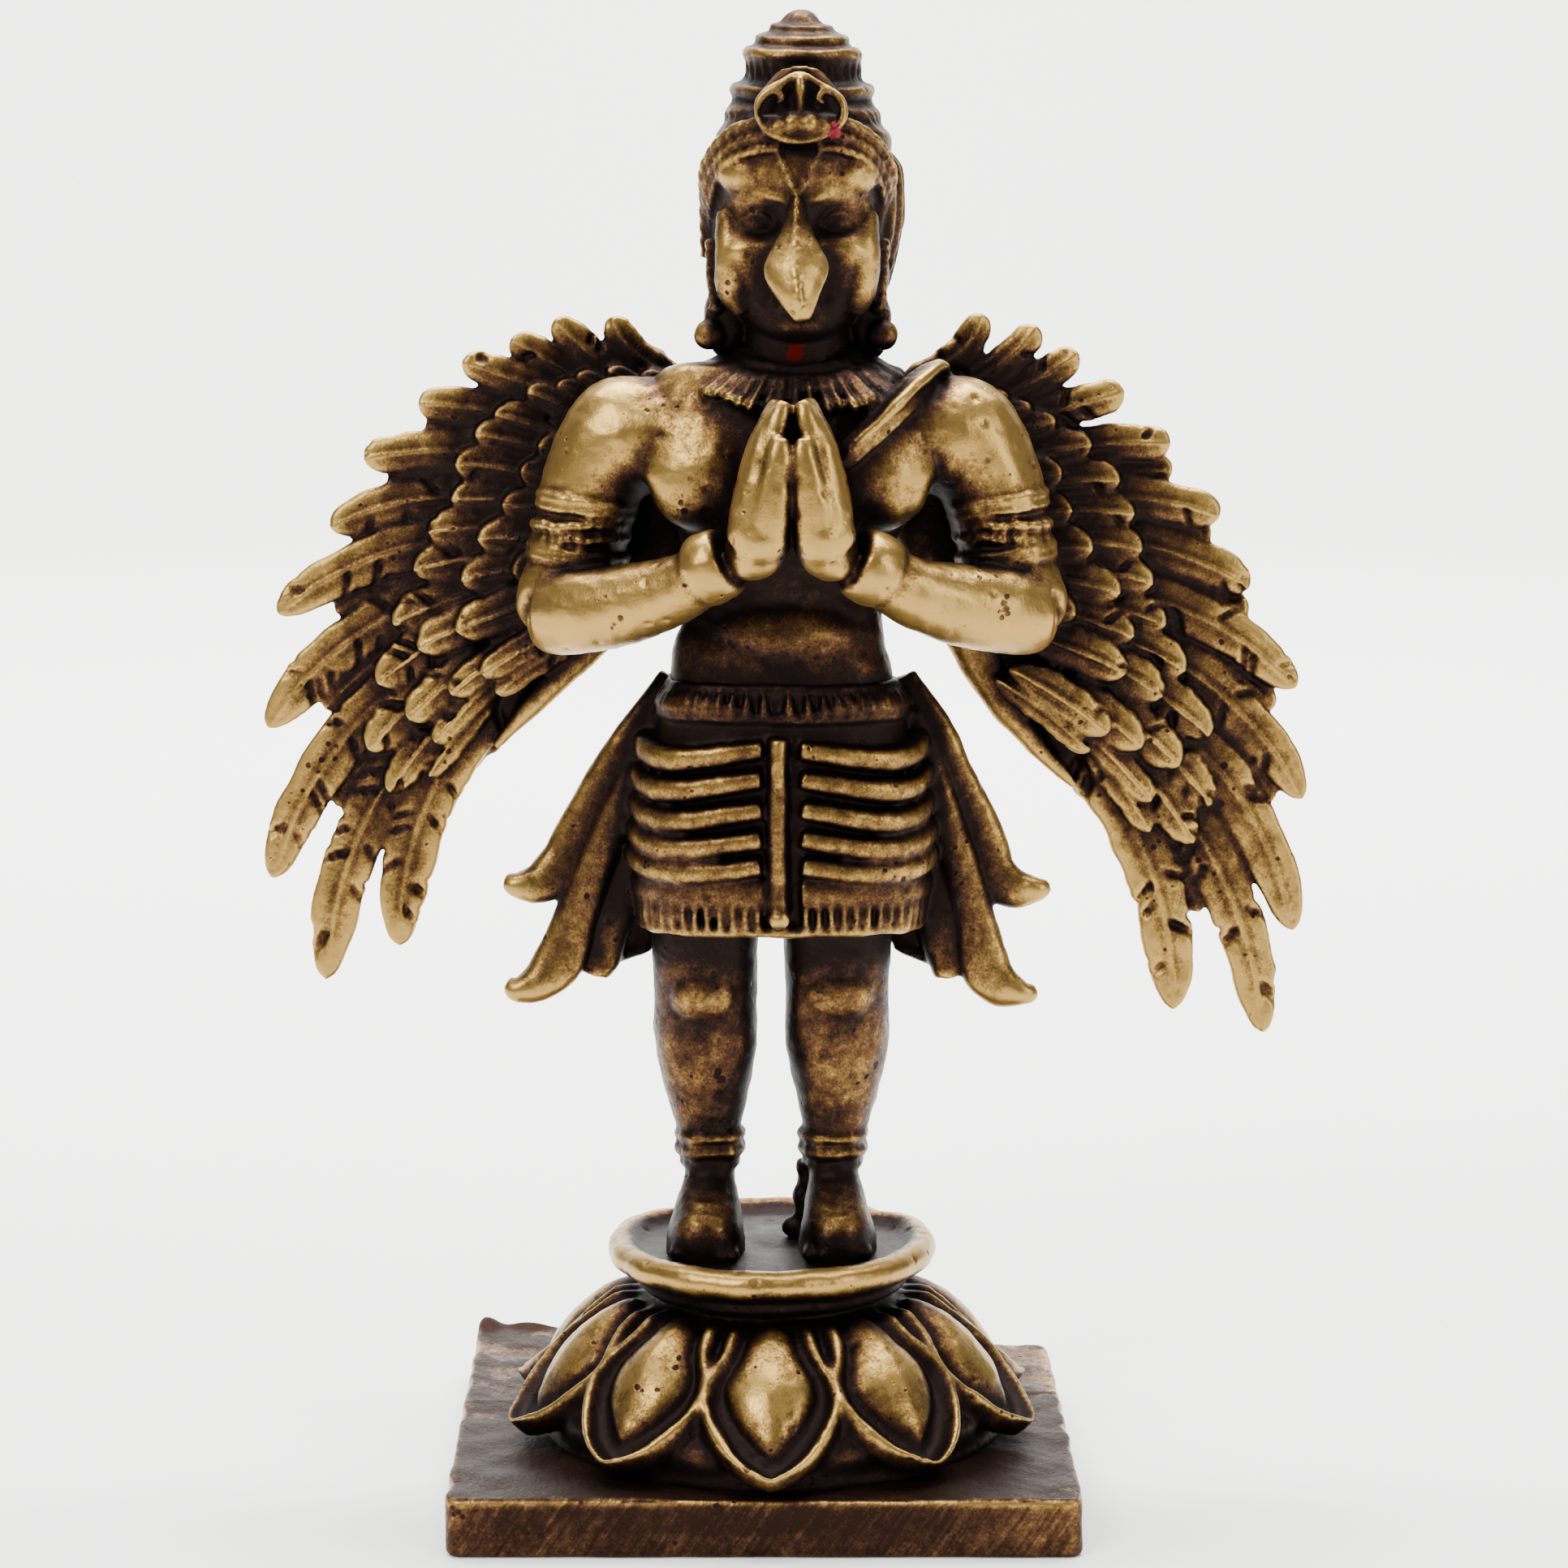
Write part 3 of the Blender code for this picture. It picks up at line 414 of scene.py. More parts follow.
    # Crest: pointed wire ring round two dark hollows, a stem between them and a lumpy bar below
    front, mid, x = head["crestFront"], head["crestHeight"], head["crestAxis"]
    turn = np.linspace(0, 2 * math.pi, 96, endpoint=False)
    point = 0.55 * bump(np.degrees(turn), 90, 20)
    ringLine = np.stack([x + 3.35 * np.cos(turn), front - 0.35 + 0.25 * np.sin(turn),
                         mid + 2.2 * np.sin(turn) + point], 1)
    parts.append(loop(ringLine, 0.36 + 0.05 * np.sin(turn * 3 + 1)))
    parts.append(tube([(x, front + 2.6, mid - 2.9, 2.6, 2.2), (x, front + 1.9, mid - 1.2, 3.5, 1.7),
                       (x, front + 1.9, mid + 1.0, 3.3, 1.5), (x, front + 2.6, mid + 2.9, 1.9, 1.9)],
                      sides=60, steps=8))
    parts.append(tube([(x, front + 0.1, mid - 1.0, 0.45, 0.7), (x, front - 0.1, mid + 0.8, 0.42, 0.8),
                       (x, front - 0.35, mid + 1.9, 0.5, 0.6), (x, front - 0.2, mid + 2.6, 0.3, 0.5)], sides=20))
    for hand in (-1, 1):
        parts += [
            # Curl that hangs from the ring into each hollow
            tube([(x + hand * 2.8, front - 0.1, mid + 1.2, 0.32, 0.4),
                  (x + hand * 1.9, front - 0.25, mid + 1.6, 0.36, 0.4),
                  (x + hand * 1.4, front - 0.3, mid + 1.0, 0.28, 0.35),
                  (x + hand * 1.8, front - 0.2, mid + 0.6, 0.2, 0.3)], sides=14),
            ball(x + hand * 1.6, front - 0.15, mid - 1.25, 1.0, 0.9, 0.85),
            ball(x + hand * 0.6, front - 0.35, mid - 0.95, 0.95, 0.95, 0.95),
            ball(x + hand * 2.5, front + 0.10, mid - 1.5, 0.7, 0.7, 0.6),
        ]
    return parts


# Body, arms and joined hands

body = {"middle": 1.65, "voxel": 0.155, "triangles": 140000}


def torsoRelief(share, turn, place):
    # Furrow of the spine, shoulder blades, and the furrow between the breasts
    x, z = place[..., 0], place[..., 2]
    front = ease((-place[..., 1] - 1.0) / 3)
    back = ease((place[..., 1] - 1.0) / 3)
    spine = -0.7 * bump(x, 1.4, 1.1) * back * bump(z, 58, 10)
    blades = 0.5 * bump(np.abs(x - 1.6), 5.2, 2.2) * back * bump(z, 65, 4)
    return spine + blades - 0.5 * bump(x, 1.3, 1.2) * bump(z, 64.5, 4) * front


def torsoParts():
    parts = [
        tube([(0.85, 0.0, 44.5, 9.2, 5.8), (0.85, 0.0, 48.5, 8.8, 5.4), (1.0, 0.0, 51.0, 8.1, 5.1),
              (1.1, 0.0, 53.5, 7.8, 5.0), (1.2, -0.1, 57.0, 8.2, 5.4), (1.4, -0.2, 61.0, 10.0, 6.0),
              (1.6, -0.1, 65.0, 11.4, 6.2), (1.9, 0.2, 68.6, 12.2, 5.4), (2.0, 0.4, 70.8, 11.0, 4.8),
              (2.1, 0.5, 72.2, 7.0, 4.2), (2.1, 0.6, 73.4, 5.3, 3.6)],
             sides=160, squareness=2.3, steps=14, relief=torsoRelief),
        ball(1.0, -2.6, 50.6, 6.4, 3.0, 4.4, sides=80),
        # Breast bone that joins both sides of the chest
        ball(1.7, -1.6, 66.0, 10.4, 4.5, 4.8, sides=120),
    ]
    for hand in (-1, 1):
        parts.append(tube([(1.5 + 5.4 * hand, -2.6, 60.2, 3.0, 1.8), (1.5 + 5.8 * hand, -3.4, 61.9, 4.9, 2.8),
                           (1.5 + 6.2 * hand, -3.2, 64.6, 5.6, 3.1), (1.5 + 7.4 * hand, -2.2, 67.3, 5.4, 2.8),
                           (1.5 + 8.0 * hand, -1.2, 69.2, 3.6, 2.0)], sides=90, steps=12))
        # Fold from the breast into the shoulder
        parts.append(tube([(1.6 + 5.0 * hand, -2.6, 66.4, 2.6, 2.2), (1.6 + 9.0 * hand, -1.7, 66.9, 3.2, 3.0),
                           (1.6 + 12.4 * hand, -0.4, 66.6, 3.8, 4.2)], sides=60, steps=12))
    # Strap over one shoulder: two long ridges on a band
    strap = [(13.4, 1.8, 70.6), (12.6, -1.6, 71.2), (10.0, -5.0, 69.2), (7.6, -6.5, 66.9), (5.2, -6.8, 64.7)]
    way = np.array([0.62, 0.0, 0.78])
    for drop, wide, deep in ((-1.0, 0.55, 0.8), (0.0, 1.35, 0.55), (1.0, 0.62, 0.85)):
        parts.append(tube([(*(np.array(spot) + way * drop), wide * (0.8 + 0.2 * math.sin(i * 0.8)), deep)
                           for i, spot in enumerate(strap)], sides=24))
    return parts + necklaceParts()


def collarPoint(turn, out):
    # Place on the chest round the neck: a turn from the front, and a share of the collar's breadth
    x = head["axis"] + (4.9 + 3.6 * out) * np.sin(turn)
    y = -0.3 - (4.6 + 2.7 * out) * np.cos(turn)
    z = 73.2 - 1.6 * np.cos(turn) - 3.1 * out * (0.55 + 0.45 * np.cos(turn))
    return x, y, z


def necklaceParts():
    parts = []
    turn = np.radians(np.linspace(-130, 130, 40))
    for out, thick in ((-0.06, 0.48), (0.14, 0.36)):
        x, y, z = collarPoint(turn, out)
        size = thick * (1 + 0.12 * np.sin(turn * 31))
        parts.append(tube(np.column_stack([x, y, z, size, size]), facing=(0, 0, 1), sides=16, steps=4))
    # Pendants hang close together from the ring, each a long drop with a lump at its end
    for i, angle in enumerate(np.arange(-92, 93, 8.2)):
        angle = math.radians(angle + chance.uniform(-1.2, 1.2))
        length = 0.86 + chance.uniform(-0.08, 0.10)
        stations = []
        for share, wide in ((0.12, 0.28), (0.4, 0.36), (0.7, 0.34), (length, 0.46), (length + 0.1, 0.25)):
            x, y, z = collarPoint(angle, share)
            stations.append((x, y - 0.45, z, wide, 0.62 if share > 0.2 else 0.4))
        parts.append(tube(stations, sides=14, steps=5))
    return parts


def armParts(hand):
    mid = body["middle"]

    def at(x):
        return mid + hand * x

    parts = [
        tube([(at(9.0), 0.4, 67.2, 3.4, 3.8), (at(11.4), 0.3, 67.2, 4.0, 4.2), (at(13.8), 0.4, 66.3, 4.6, 4.5),
              (at(16.0), 0.5, 62.6, 4.15, 4.1), (at(16.8), 0.5, 58.8, 3.75, 3.7), (at(17.9), 0.0, 55.2, 3.6, 3.55),
              (at(19.1), -1.2, 52.7, 3.25, 3.2), (at(19.4), -1.9, 51.9, 2.4, 2.4)], sides=80, steps=12),
        ball(at(13.0), 0.4, 66.3, 5.0, 4.7, 4.9, sides=60),
        tube([(at(20.4), -0.9, 52.3, 2.3, 2.3), (at(19.2), -1.4, 52.2, 3.15, 3.2), (at(16.8), -3.2, 52.7, 3.4, 3.4),
              (at(13.2), -5.4, 53.4, 3.2, 3.25), (at(9.0), -7.6, 54.8, 2.75, 2.75), (at(5.4), -9.2, 57.0, 2.25, 2.3)],
             sides=80, steps=12),
    ]
    # Armlet: an upper pair of bands and a lower one, with lumpy beads between
    tilt = (-0.14 * hand, 0, 1)
    for z, thick in ((61.3, 0.36), (60.5, 0.30), (57.2, 0.34), (56.5, 0.32)):
        x = 16.9 + (58.8 - z) * 0.18
        parts.append(hoop((at(x), 0.35, z), tilt, 3.92, thick, lump=0.2))
    for angle in np.arange(-132, 133, 12.0):
        turn = math.radians(angle + chance.uniform(-2, 2))
        x, y = at(16.9 + 3.75 * math.sin(turn)), 0.35 - 3.75 * math.cos(turn)
        parts.append(ball(x, y, 59.4 + chance.uniform(-0.1, 0.1), chance.uniform(0.42, 0.55), 0.55, 0.5, sides=16))
        parts.append(ball(x, y, 58.3 + chance.uniform(-0.1, 0.1), chance.uniform(0.36, 0.5), 0.5, 0.42, sides=16))
    # Bracelet: one broad cuff with a thin rim at each edge
    lower = np.array((0.80 * hand, 0.34, -0.42))
    lower = lower / np.linalg.norm(lower)
    centre = np.array((at(6.15), -8.85, 56.6))
    cuff = [(*(centre + lower * s), r, r) for s, r in
            ((-1.7, 2.1), (-1.55, 2.5), (-1.15, 2.82), (-0.3, 3.0), (0.6, 3.0), (1.25, 2.8), (1.6, 2.45), (1.7, 2.1))]
    parts.append(tube(cuff, sides=70, steps=6))
    # Hand: a plump heel that narrows to the fingertips, the two hands parted by a long slot
    parts.append(tube([(at(4.4), -9.6, 57.5, 1.5, 1.6), (at(3.0), -10.3, 57.9, 2.3, 2.5),
                       (at(2.5), -10.6, 59.3, 2.50, 3.0), (at(2.35), -10.6, 61.4, 2.34, 3.05),
                       (at(2.1), -10.5, 63.6, 2.10, 2.95), (at(1.72), -10.4, 66.2, 1.72, 2.6),
                       (at(1.25), -10.2, 68.2, 1.25, 2.1), (at(0.85), -10.0, 69.5, 0.85, 1.4)],
                      sides=72, squareness=2.7, steps=12, relief=fingerRelief(hand)))
    parts += [
        ball(at(2.3), -12.0, 59.2, 2.2, 2.0, 2.4, sides=60),
        ball(at(2.2), -12.0, 62.2, 2.0, 1.7, 3.4, sides=60),
        tube([(at(1.9), -12.6, 58.9, 1.6, 1.3), (at(1.55), -13.1, 61.5, 1.45, 1.1), (at(1.15), -13.2, 64.2, 1.10, 0.95),
              (at(0.92), -13.1, 66.0, 0.88, 0.85), (at(0.8), -12.9, 66.9, 0.55, 0.6)],
             sides=40, squareness=2.5, steps=10),
        tube([(at(1.9), -12.2, 63.5, 1.2, 1.0), (at(1.5), -12.2, 66.5, 0.98, 0.9), (at(0.95), -12.0, 68.6, 0.82, 0.85),
              (at(0.6), -11.8, 69.6, 0.5, 0.6)], sides=32, squareness=2.4, steps=10),
    ]
    return parts


def fingerRelief(hand):
    def relief(share, turn, place):
        # Long slits between the fingers on the outer side
        outer = ease((hand * (place[..., 0] - body["middle"]) - 1.0) / 0.8) * ease((place[..., 2] - 61.5) / 2)
        slits = sum(bump(place[..., 1], y, 0.16) for y in (-11.4, -10.2, -9.0))
        return -0.32 * slits * outer
    return relief


# Skirt, belt and sash tails

skirt = {"middle": 0.85, "ribs": (41.7, 39.3, 36.9, 34.6, 32.5), "voxel": 0.155, "triangles": 140000}


def skirtHalf(z):
    # Half width and half depth, straight between the heights given
    wide = np.interp(z, [26, 28, 34, 40, 44, 47], [10.7, 11.3, 11.4, 10.9, 10.1, 9.2])
    deep = np.interp(z, [26, 28, 34, 40, 44, 47], [6.9, 7.3, 7.4, 7.1, 6.5, 5.9])
    return wide, deep


def skirtLine(turns, z, proud, wideSize, deepSize=None):
    # Line round the skirt at a height: a super-ellipse of its half sizes, standing proud of it
    wide, deep = skirtHalf(z)
    side = np.sign(np.sin(turns)) * np.abs(np.sin(turns)) ** 0.8
    front = np.sign(np.cos(turns)) * np.abs(np.cos(turns)) ** 0.8
    x = skirt["middle"] + (wide + proud) * side
    deepSize = wideSize if deepSize is None else deepSize
    return np.column_stack([x, -(deep + proud) * front, z, wideSize, deepSize])


def skirtParts():
    levels = np.linspace(27.3, 46.4, 21)
    wide, deep = skirtHalf(levels)
    core = [(skirt["middle"], 0, z, w - 0.25, d - 0.25) for z, w, d in zip(levels, wide, deep)]
    core += [(skirt["middle"], 0, 47.0, 8.4, 5.3), (skirt["middle"], 0, 47.4, 7.6, 4.8)]
    parts = [tube(core, sides=160, squareness=2.5, steps=3)]
    share = np.linspace(0, 1, 16)
    for hand in (-1, 1):
        turns = hand * np.radians(4.8 + 164 * share)
        for i, z in enumerate(skirt["ribs"]):
            # Each rib is a crescent: it sags in the middle and thins to both ends
            sag = np.sin(np.pi * np.clip(share / 0.50, 0, 1)) * (1.05 - 0.08 * i)
            swell = np.sin(np.pi * np.clip(share * 0.72 + 0.2, 0, 1)) ** 0.5
            rows = skirtLine(turns, z + 0.25 - sag + 0.12 * np.sin(share * 9 + i), 0.35, 1.04 * swell, 1.0 * swell)
            parts.append(tube(rows, facing=(0, 0, 1), sides=32, squareness=2.7, steps=5))
        rows = skirtLine(turns, np.full_like(share, 30.35), -0.15, np.full_like(share, 0.95), np.full_like(share, 1.2))
        parts.append(tube(rows, facing=(0, 0, 1), sides=36, squareness=2.8, steps=5))
        # Fringe, a cord for each hundredth round the hem
        fine = np.radians(np.linspace(3, 172, 400))
        path = skirtLine(hand * fine, np.full(400, 28.5), 0.25, np.ones(400))[:, :2]
        run = np.concatenate([[0], np.cumsum(np.linalg.norm(np.diff(path, axis=0), axis=1))])
        for turn in hand * np.interp(np.arange(0.8, run[-1], 1.02), run, fine):
            rows = skirtLine(np.array([turn] * 3), np.array([29.5, 28.5, 27.5]), 0.25, np.array([0.30, 0.31, 0.28]),
                             np.array([0.55, 0.6, 0.4]))
            parts.append(tube(rows, sides=12, steps=3))
    around = np.radians(np.linspace(-180, 180, 97))
    for z, proud, size, tall in ((27.3, 0.1, 0.50, 0.45), (46.6, -0.3, 0.45, 0.45),
                                 (44.3, -0.1, 0.42, 0.42)):
        uneven = size * (1 + 0.08 * np.sin(around * 13 + z))
        parts.append(tube(skirtLine(around, np.full_like(around, z), proud, uneven, uneven * tall / size),
                          facing=(0, 0, 1), sides=16, steps=2))
    # Row of small drops that hang from the belt
    for turn in np.radians(np.arange(-170, 171, 6.6)):
        rows = skirtLine(np.array([turn] * 4), np.array([46.3, 45.7, 45.0, 44.6]), 0.20,
                         np.array([0.2, 0.34, 0.44, 0.22]))
        parts.append(tube(rows, sides=14, steps=4))
    # Pleat bar down the middle, in three lengths, with a knob at its foot
    for top, bottom, half in ((42.8, 39.2, 0.80), (38.8, 31.2, 0.94), (30.8, 28.8, 1.0)):
        parts.append(tube([(0.6, -6.9, top, half, 1.35), (0.55, -7.1, (top + bottom) / 2, half * 0.94, 1.4),
                           (0.6, -7.1, bottom, half, 1.35)], sides=32, squareness=2.6))
    parts.append(ball(0.6, -8.1, 28.5, 0.95, 0.8, 0.9))
    return parts


# Each tail: how far it stands back, then its middle line out from the figure's leaning middle, height, half width
sash = {"middle": 0.45, "lean": 0.05, "tails": (
    (1.0, ((9.3, 47.0, 0.9), (12.3, 42.2, 1.25), (14.1, 38.7, 1.5), (16.4, 33.7, 1.85), (17.3, 30.8, 2.05),
           (19.1, 29.4, 1.75), (21.0, 29.3, 1.15), (22.0, 29.7, 0.6))),
    (0.3, ((9.8, 44.0, 0.9), (12.2, 38.5, 1.2), (14.2, 33.0, 1.45), (16.0, 27.0, 1.75), (17.2, 23.2, 2.1),
           (18.7, 21.4, 1.8), (20.5, 20.8, 1.15), (21.5, 21.2, 0.6))),
    (1.3, ((9.3, 40.0, 0.9), (11.2, 34.0, 1.4), (12.9, 28.0, 1.7), (13.9, 24.0, 1.75), (14.2, 22.2, 1.2))),
), "web": ((8.2, 46.5, 1.4), (11.0, 40.0, 2.9), (13.0, 33.0, 3.5), (12.6, 27.2, 3.4), (12.0, 24.4, 3.2),
           (11.6, 23.4, 2.2))}


def sashParts(hand):
    def folds(share, turn, place):
        return 0.06 * np.sin(share * 17 + turn) + 0.10 * np.cos(2 * turn + 3 * share)

    def strip(y, stations, deep):
        rows = []
        for i, (x, z, wide) in enumerate(stations):
            middle = sash["middle"] + sash["lean"] * (z - 30)
            lift = (0.38 - 0.22 * hand) * (z < 33) * (x > 14.5)      # the curled ends stand a little higher
            rows.append((middle + hand * (x + 0.18), y - 0.25 * math.sin(i * 1.3), z + lift, wide, min(deep, wide)))
        return tube(rows, sides=56, squareness=2.3, steps=12, relief=folds)

    parts = [strip(y, stations, 1.25) for y, stations in sash["tails"]]
    # Web that the tails are cast on
    parts.append(strip(2.5, sash["web"], 0.6))
    return parts


# Legs and feet

legs = {"middle": {-1: -0.12, 1: 0.13}, "reach": 5.2, "voxel": 0.155, "triangles": 65000}


def legParts():
    parts = []
    for hand in (-1, 1):
        x = legs["middle"][hand] + legs["reach"] * hand
        parts += [
            tube([(x * 0.96, 0.3, 4.0, 2.2, 2.3), (x * 0.95, 0.4, 6.4, 2.05, 2.2), (x * 0.97, 0.5, 9.5, 2.6, 2.6),
                  (x, 0.9, 14.0, 3.75, 3.8), (x * 1.01, 0.8, 17.5, 4.25, 4.0), (x * 1.01, 0.3, 21.0, 4.2, 4.0),
                  (x * 1.02, 0.2, 25.0, 4.35, 4.4), (x, 0.2, 31.0, 4.55, 4.9)], sides=90, steps=12),
            # Foot: it spreads from the ankle like a boot, with fine creases across
            tube([(x * 0.95, 0.1, 7.0, 1.95, 2.05), (x * 0.96, -0.1, 5.6, 2.1, 2.4), (x * 0.98, -0.6, 4.0, 2.5, 3.3),
                  (x, -1.2, 2.4, 2.85, 4.3), (x * 1.02, -1.6, 1.1, 3.15, 5.0), (x * 1.02, -1.6, -0.4, 3.2, 5.0)],
                 sides=90, squareness=2.4, steps=12,
                 relief=lambda share, turn, place: 0.05 * np.sin(place[..., 2] * 9 + np.sin(place[..., 0] * 1.4))),
            ball(x * 1.03, -2.35, 21.5, 2.8, 1.9, 2.7, sides=48),
        ]
        for z, radius, thick in ((6.9, 2.15, 0.40), (8.0, 2.45, 0.52), (9.2, 2.5, 0.48)):
            parts.append(hoop((x * 0.95, 0.4, z), (0, 0, 1), radius, thick, lump=0.14))
        for toe in range(5):
            parts.append(ball(x * 1.02 + (toe - 2) * 1.15, -5.95 + 0.30 * abs(toe - 2 + 0.4 * hand), 0.55,
                              0.60, 0.95, 0.62, sides=20))
    # Rough flash left by the mould beside one ankle
    for x, z, wide, tall in ((2.45, 6.1, 0.55, 0.8), (2.75, 4.9, 0.75, 1.0), (2.3, 3.6, 0.7, 1.1), (2.6, 2.2, 0.9, 1.3),
                             (2.1, 1.0, 1.4, 1.0)):
        parts.append(ball(x, 1.8 + 0.3 * math.sin(z * 5), z, wide, 0.9, tall, sides=16))
    return parts


# Lotus and the disc on it, in millimetres

lotus = {"base": 3.5, "height": 9.3, "neck": 7.7, "petals": 10, "reach": 16.4, "fall": 1.28, "petalWidth": 9.7,
         "thick": 1.1, "apron": 14.4, "discWidth": 20.2, "discDepth": 20.0, "discThick": 1.9,
         "voxel": 0.17, "triangles": 130000}


def domeHeight(out):
    # Height less its share that goes with the distance out, to the power of fall
    return (lotus["height"] - 0.5 * lotus["discThick"] - 0.5 * lotus["thick"]) * (1 - out ** lotus["fall"])


def petalParts(angle):
    # A leaf wrapped round the dome: (share of the radius, place across) gives the spot. A raised rim follows
    # its outline, then a groove, then an almond pillow.
    u = np.linspace(0.0, 1.0, 96)[:, None]
    v = np.linspace(-1, 1, 90)[None, :]
    run = lotus["reach"] - lotus["neck"]
    slope = np.arctan(lotus["fall"] * domeHeight(0) * np.maximum(u, 0.02) ** (lotus["fall"] - 1) / run)
    spread = math.pi * (lotus["neck"] + run * u) / lotus["petals"]
    almond = np.sin(np.pi * u ** 1.04) ** 0.60
    blend = ease((u - 0.25) / 0.36)
    half = np.maximum((1 - blend) * 1.02 * spread + blend * almond * lotus["petalWidth"] / 2, 0.06)
    m = np.abs(v)
    edge = (1 - m) * half                       # distance in from the outline
    rim = 0.95 * bump(edge, 0.68, 0.66) * ease(u / 0.2)
    pillowAlmond = np.sin(np.pi * np.clip((u - 0.06) / 0.78, 0, 1) ** 0.95) ** 0.75
    room = np.maximum(half - 1.5, 0.05)
    pillowSpan = pillowAlmond * 3.1 * room / ((pillowAlmond * 3.1) ** 6 + room ** 6) ** (1 / 6)
    inside = np.clip(1 - (m * half / np.maximum(pillowSpan, 0.05)) ** 2, 0, 1) * (pillowSpan > 0.1)
    pillow = 1.25 * np.sqrt(inside) * pillowAlmond ** 0.8 + 0.05 * bump(m * half, 0, 0.3) * (inside > 0.2)
    lift = np.maximum(rim, pillow) + 0.05
    lift = lift * ease(edge / 0.30) * ease(u / 0.08)
    tipRise = 0.30 * ease((u - 0.85) / 0.15)

    def at(lift):
        radius = lotus["neck"] + run * u + lift * np.sin(slope)
        z = lotus["base"] + 0.5 * lotus["thick"] + domeHeight(u) + lift * np.cos(slope) + tipRise
        turn = angle + v * half / np.maximum(radius, 1)
        return np.stack([radius * np.cos(turn), radius * np.sin(turn), z + 0 * turn], -1)

    upper, lower = at(lift), at(-0.75 + 0 * lift)
    return ringSkin(np.concatenate([upper, lower[:, ::-1]], axis=1))


def lotusParts():
    top = lotus["base"] + lotus["height"] + lotus["discThick"]
    dome = [(lotus["apron"] * 0.995, lotus["base"] - 0.5), (lotus["apron"], lotus["base"] + 0.15)]
    for out in np.linspace(0.98, 0.06, 14):
        radius = lotus["neck"] + (lotus["reach"] - lotus["neck"]) * out - 0.55
        dome.append((min(radius, lotus["apron"] * 0.985), lotus["base"] + 0.35 + domeHeight(out)))
    dome += [(7.7, 11.6), (7.6, 12.1), (8.3, 12.4), (8.5, 12.9), (8.2, 13.4)]

    def domeRelief(turn, z):
        # The apron swells between the petals
        between = math.pi / 2 * lotus["petals"] - math.pi
        swell = 0.45 * bump(z, 5.4, 1.5) * (0.5 + 0.5 * np.cos(lotus["petals"] * turn - between))
        return swell + 0.06 * np.sin(3 * turn + 1) + 0.04 * np.sin(9 * turn + z)

    parts = [lathe(dome, sides=300, steps=6, relief=domeRelief)]
    half = lotus["discThick"] / 2
    rim = [(8.2, top - 1.7), (8.7, top - 1.5)]
    reach = lotus["discWidth"] / 2
    for lean in np.radians(np.linspace(-70, 150, 16)):
        rim.append((reach - half + half * math.cos(lean), top - 0.28 * half + 0.95 * half * math.sin(lean)))
    rim += [(reach - 2.1 * half, top + 0.15), (reach - 2.4 * half, top - 0.05), (4.0, top)]

    def rimRelief(turn, z):              # dents and swellings of the disc's edge
        notch = -0.5 * bump(np.degrees(turn), 42, 5) - 0.25 * bump(np.degrees(turn), 128, 7)
        notch = notch + 0.3 * bump(np.degrees(turn), 26, 12) + 0.35 * bump(np.degrees(turn), 152, 16)
        return notch + 0.10 * np.sin(2 * turn + 0.6) + 0.05 * np.sin(5 * turn) + 0.03 * np.sin(17 * turn)

    parts.append(lathe(rim, depthShare=lotus["discDepth"] / lotus["discWidth"], sides=300, steps=3, relief=rimRelief))
    # Shallow puddles of metal round the feet
    for x, y, wide in ((-3.9, -1.0, 3.0), (4.0, -1.0, 3.0), (0.6, 1.6, 2.6)):
        parts.append(ball(x, y, top - 0.15, wide, wide * 1.1, 0.35, sides=40))
    for i in range(lotus["petals"]):
        parts.append(petalParts(-math.pi / 2 + 2 * math.pi * i / lotus["petals"]))
    return parts


# Plinth, in millimetres: one closed grid of rings, with worn edges, a burr at a corner and faint seams on top

plinth = {"width": 37.4, "shift": -0.35, "front": 16.1, "depth": 37.0, "slant": 4.8, "flare": 0.9, "thick": 3.5,
          "corner": 1.0, "edge": 0.35, "around": 420}


def plinthOutline(inset):
    # Four corners rounded by quadratic curves, at even steps, moved in by the inset
    half = plinth["width"] / 2
    left, right = plinth["shift"] - half, plinth["shift"] + half
    back = plinth["depth"] - plinth["front"]
    corners = np.array([(left, -plinth["front"]), (right, -plinth["front"]), (right, back - plinth["slant"]),
                        (left - plinth["flare"], back)])
    line = []
    for here, before, after in zip(corners, np.roll(corners, 1, 0), np.roll(corners, -1, 0)):
        toBefore, toAfter = unitRows((before - here)[None])[0], unitRows((after - here)[None])[0]
        start, end = here + toBefore * plinth["corner"], here + toAfter * plinth["corner"]
        for t in np.linspace(0, 1, 7):
            line.append((1 - t) ** 2 * start + 2 * t * (1 - t) * here + t**2 * end)
    line = np.array(line + [line[0]])
    length = np.concatenate([[0], np.cumsum(np.linalg.norm(np.diff(line, axis=0), axis=1))])
    spots = np.linspace(0, length[-1], plinth["around"], endpoint=False)
    flat = np.column_stack([np.interp(spots, length, line[:, k]) for k in range(2)])
    ways = unitRows(np.roll(flat, -1, 0) - np.roll(flat, 1, 0))
    inward = np.column_stack([-ways[:, 1], ways[:, 0]])
    return flat + inward * inset


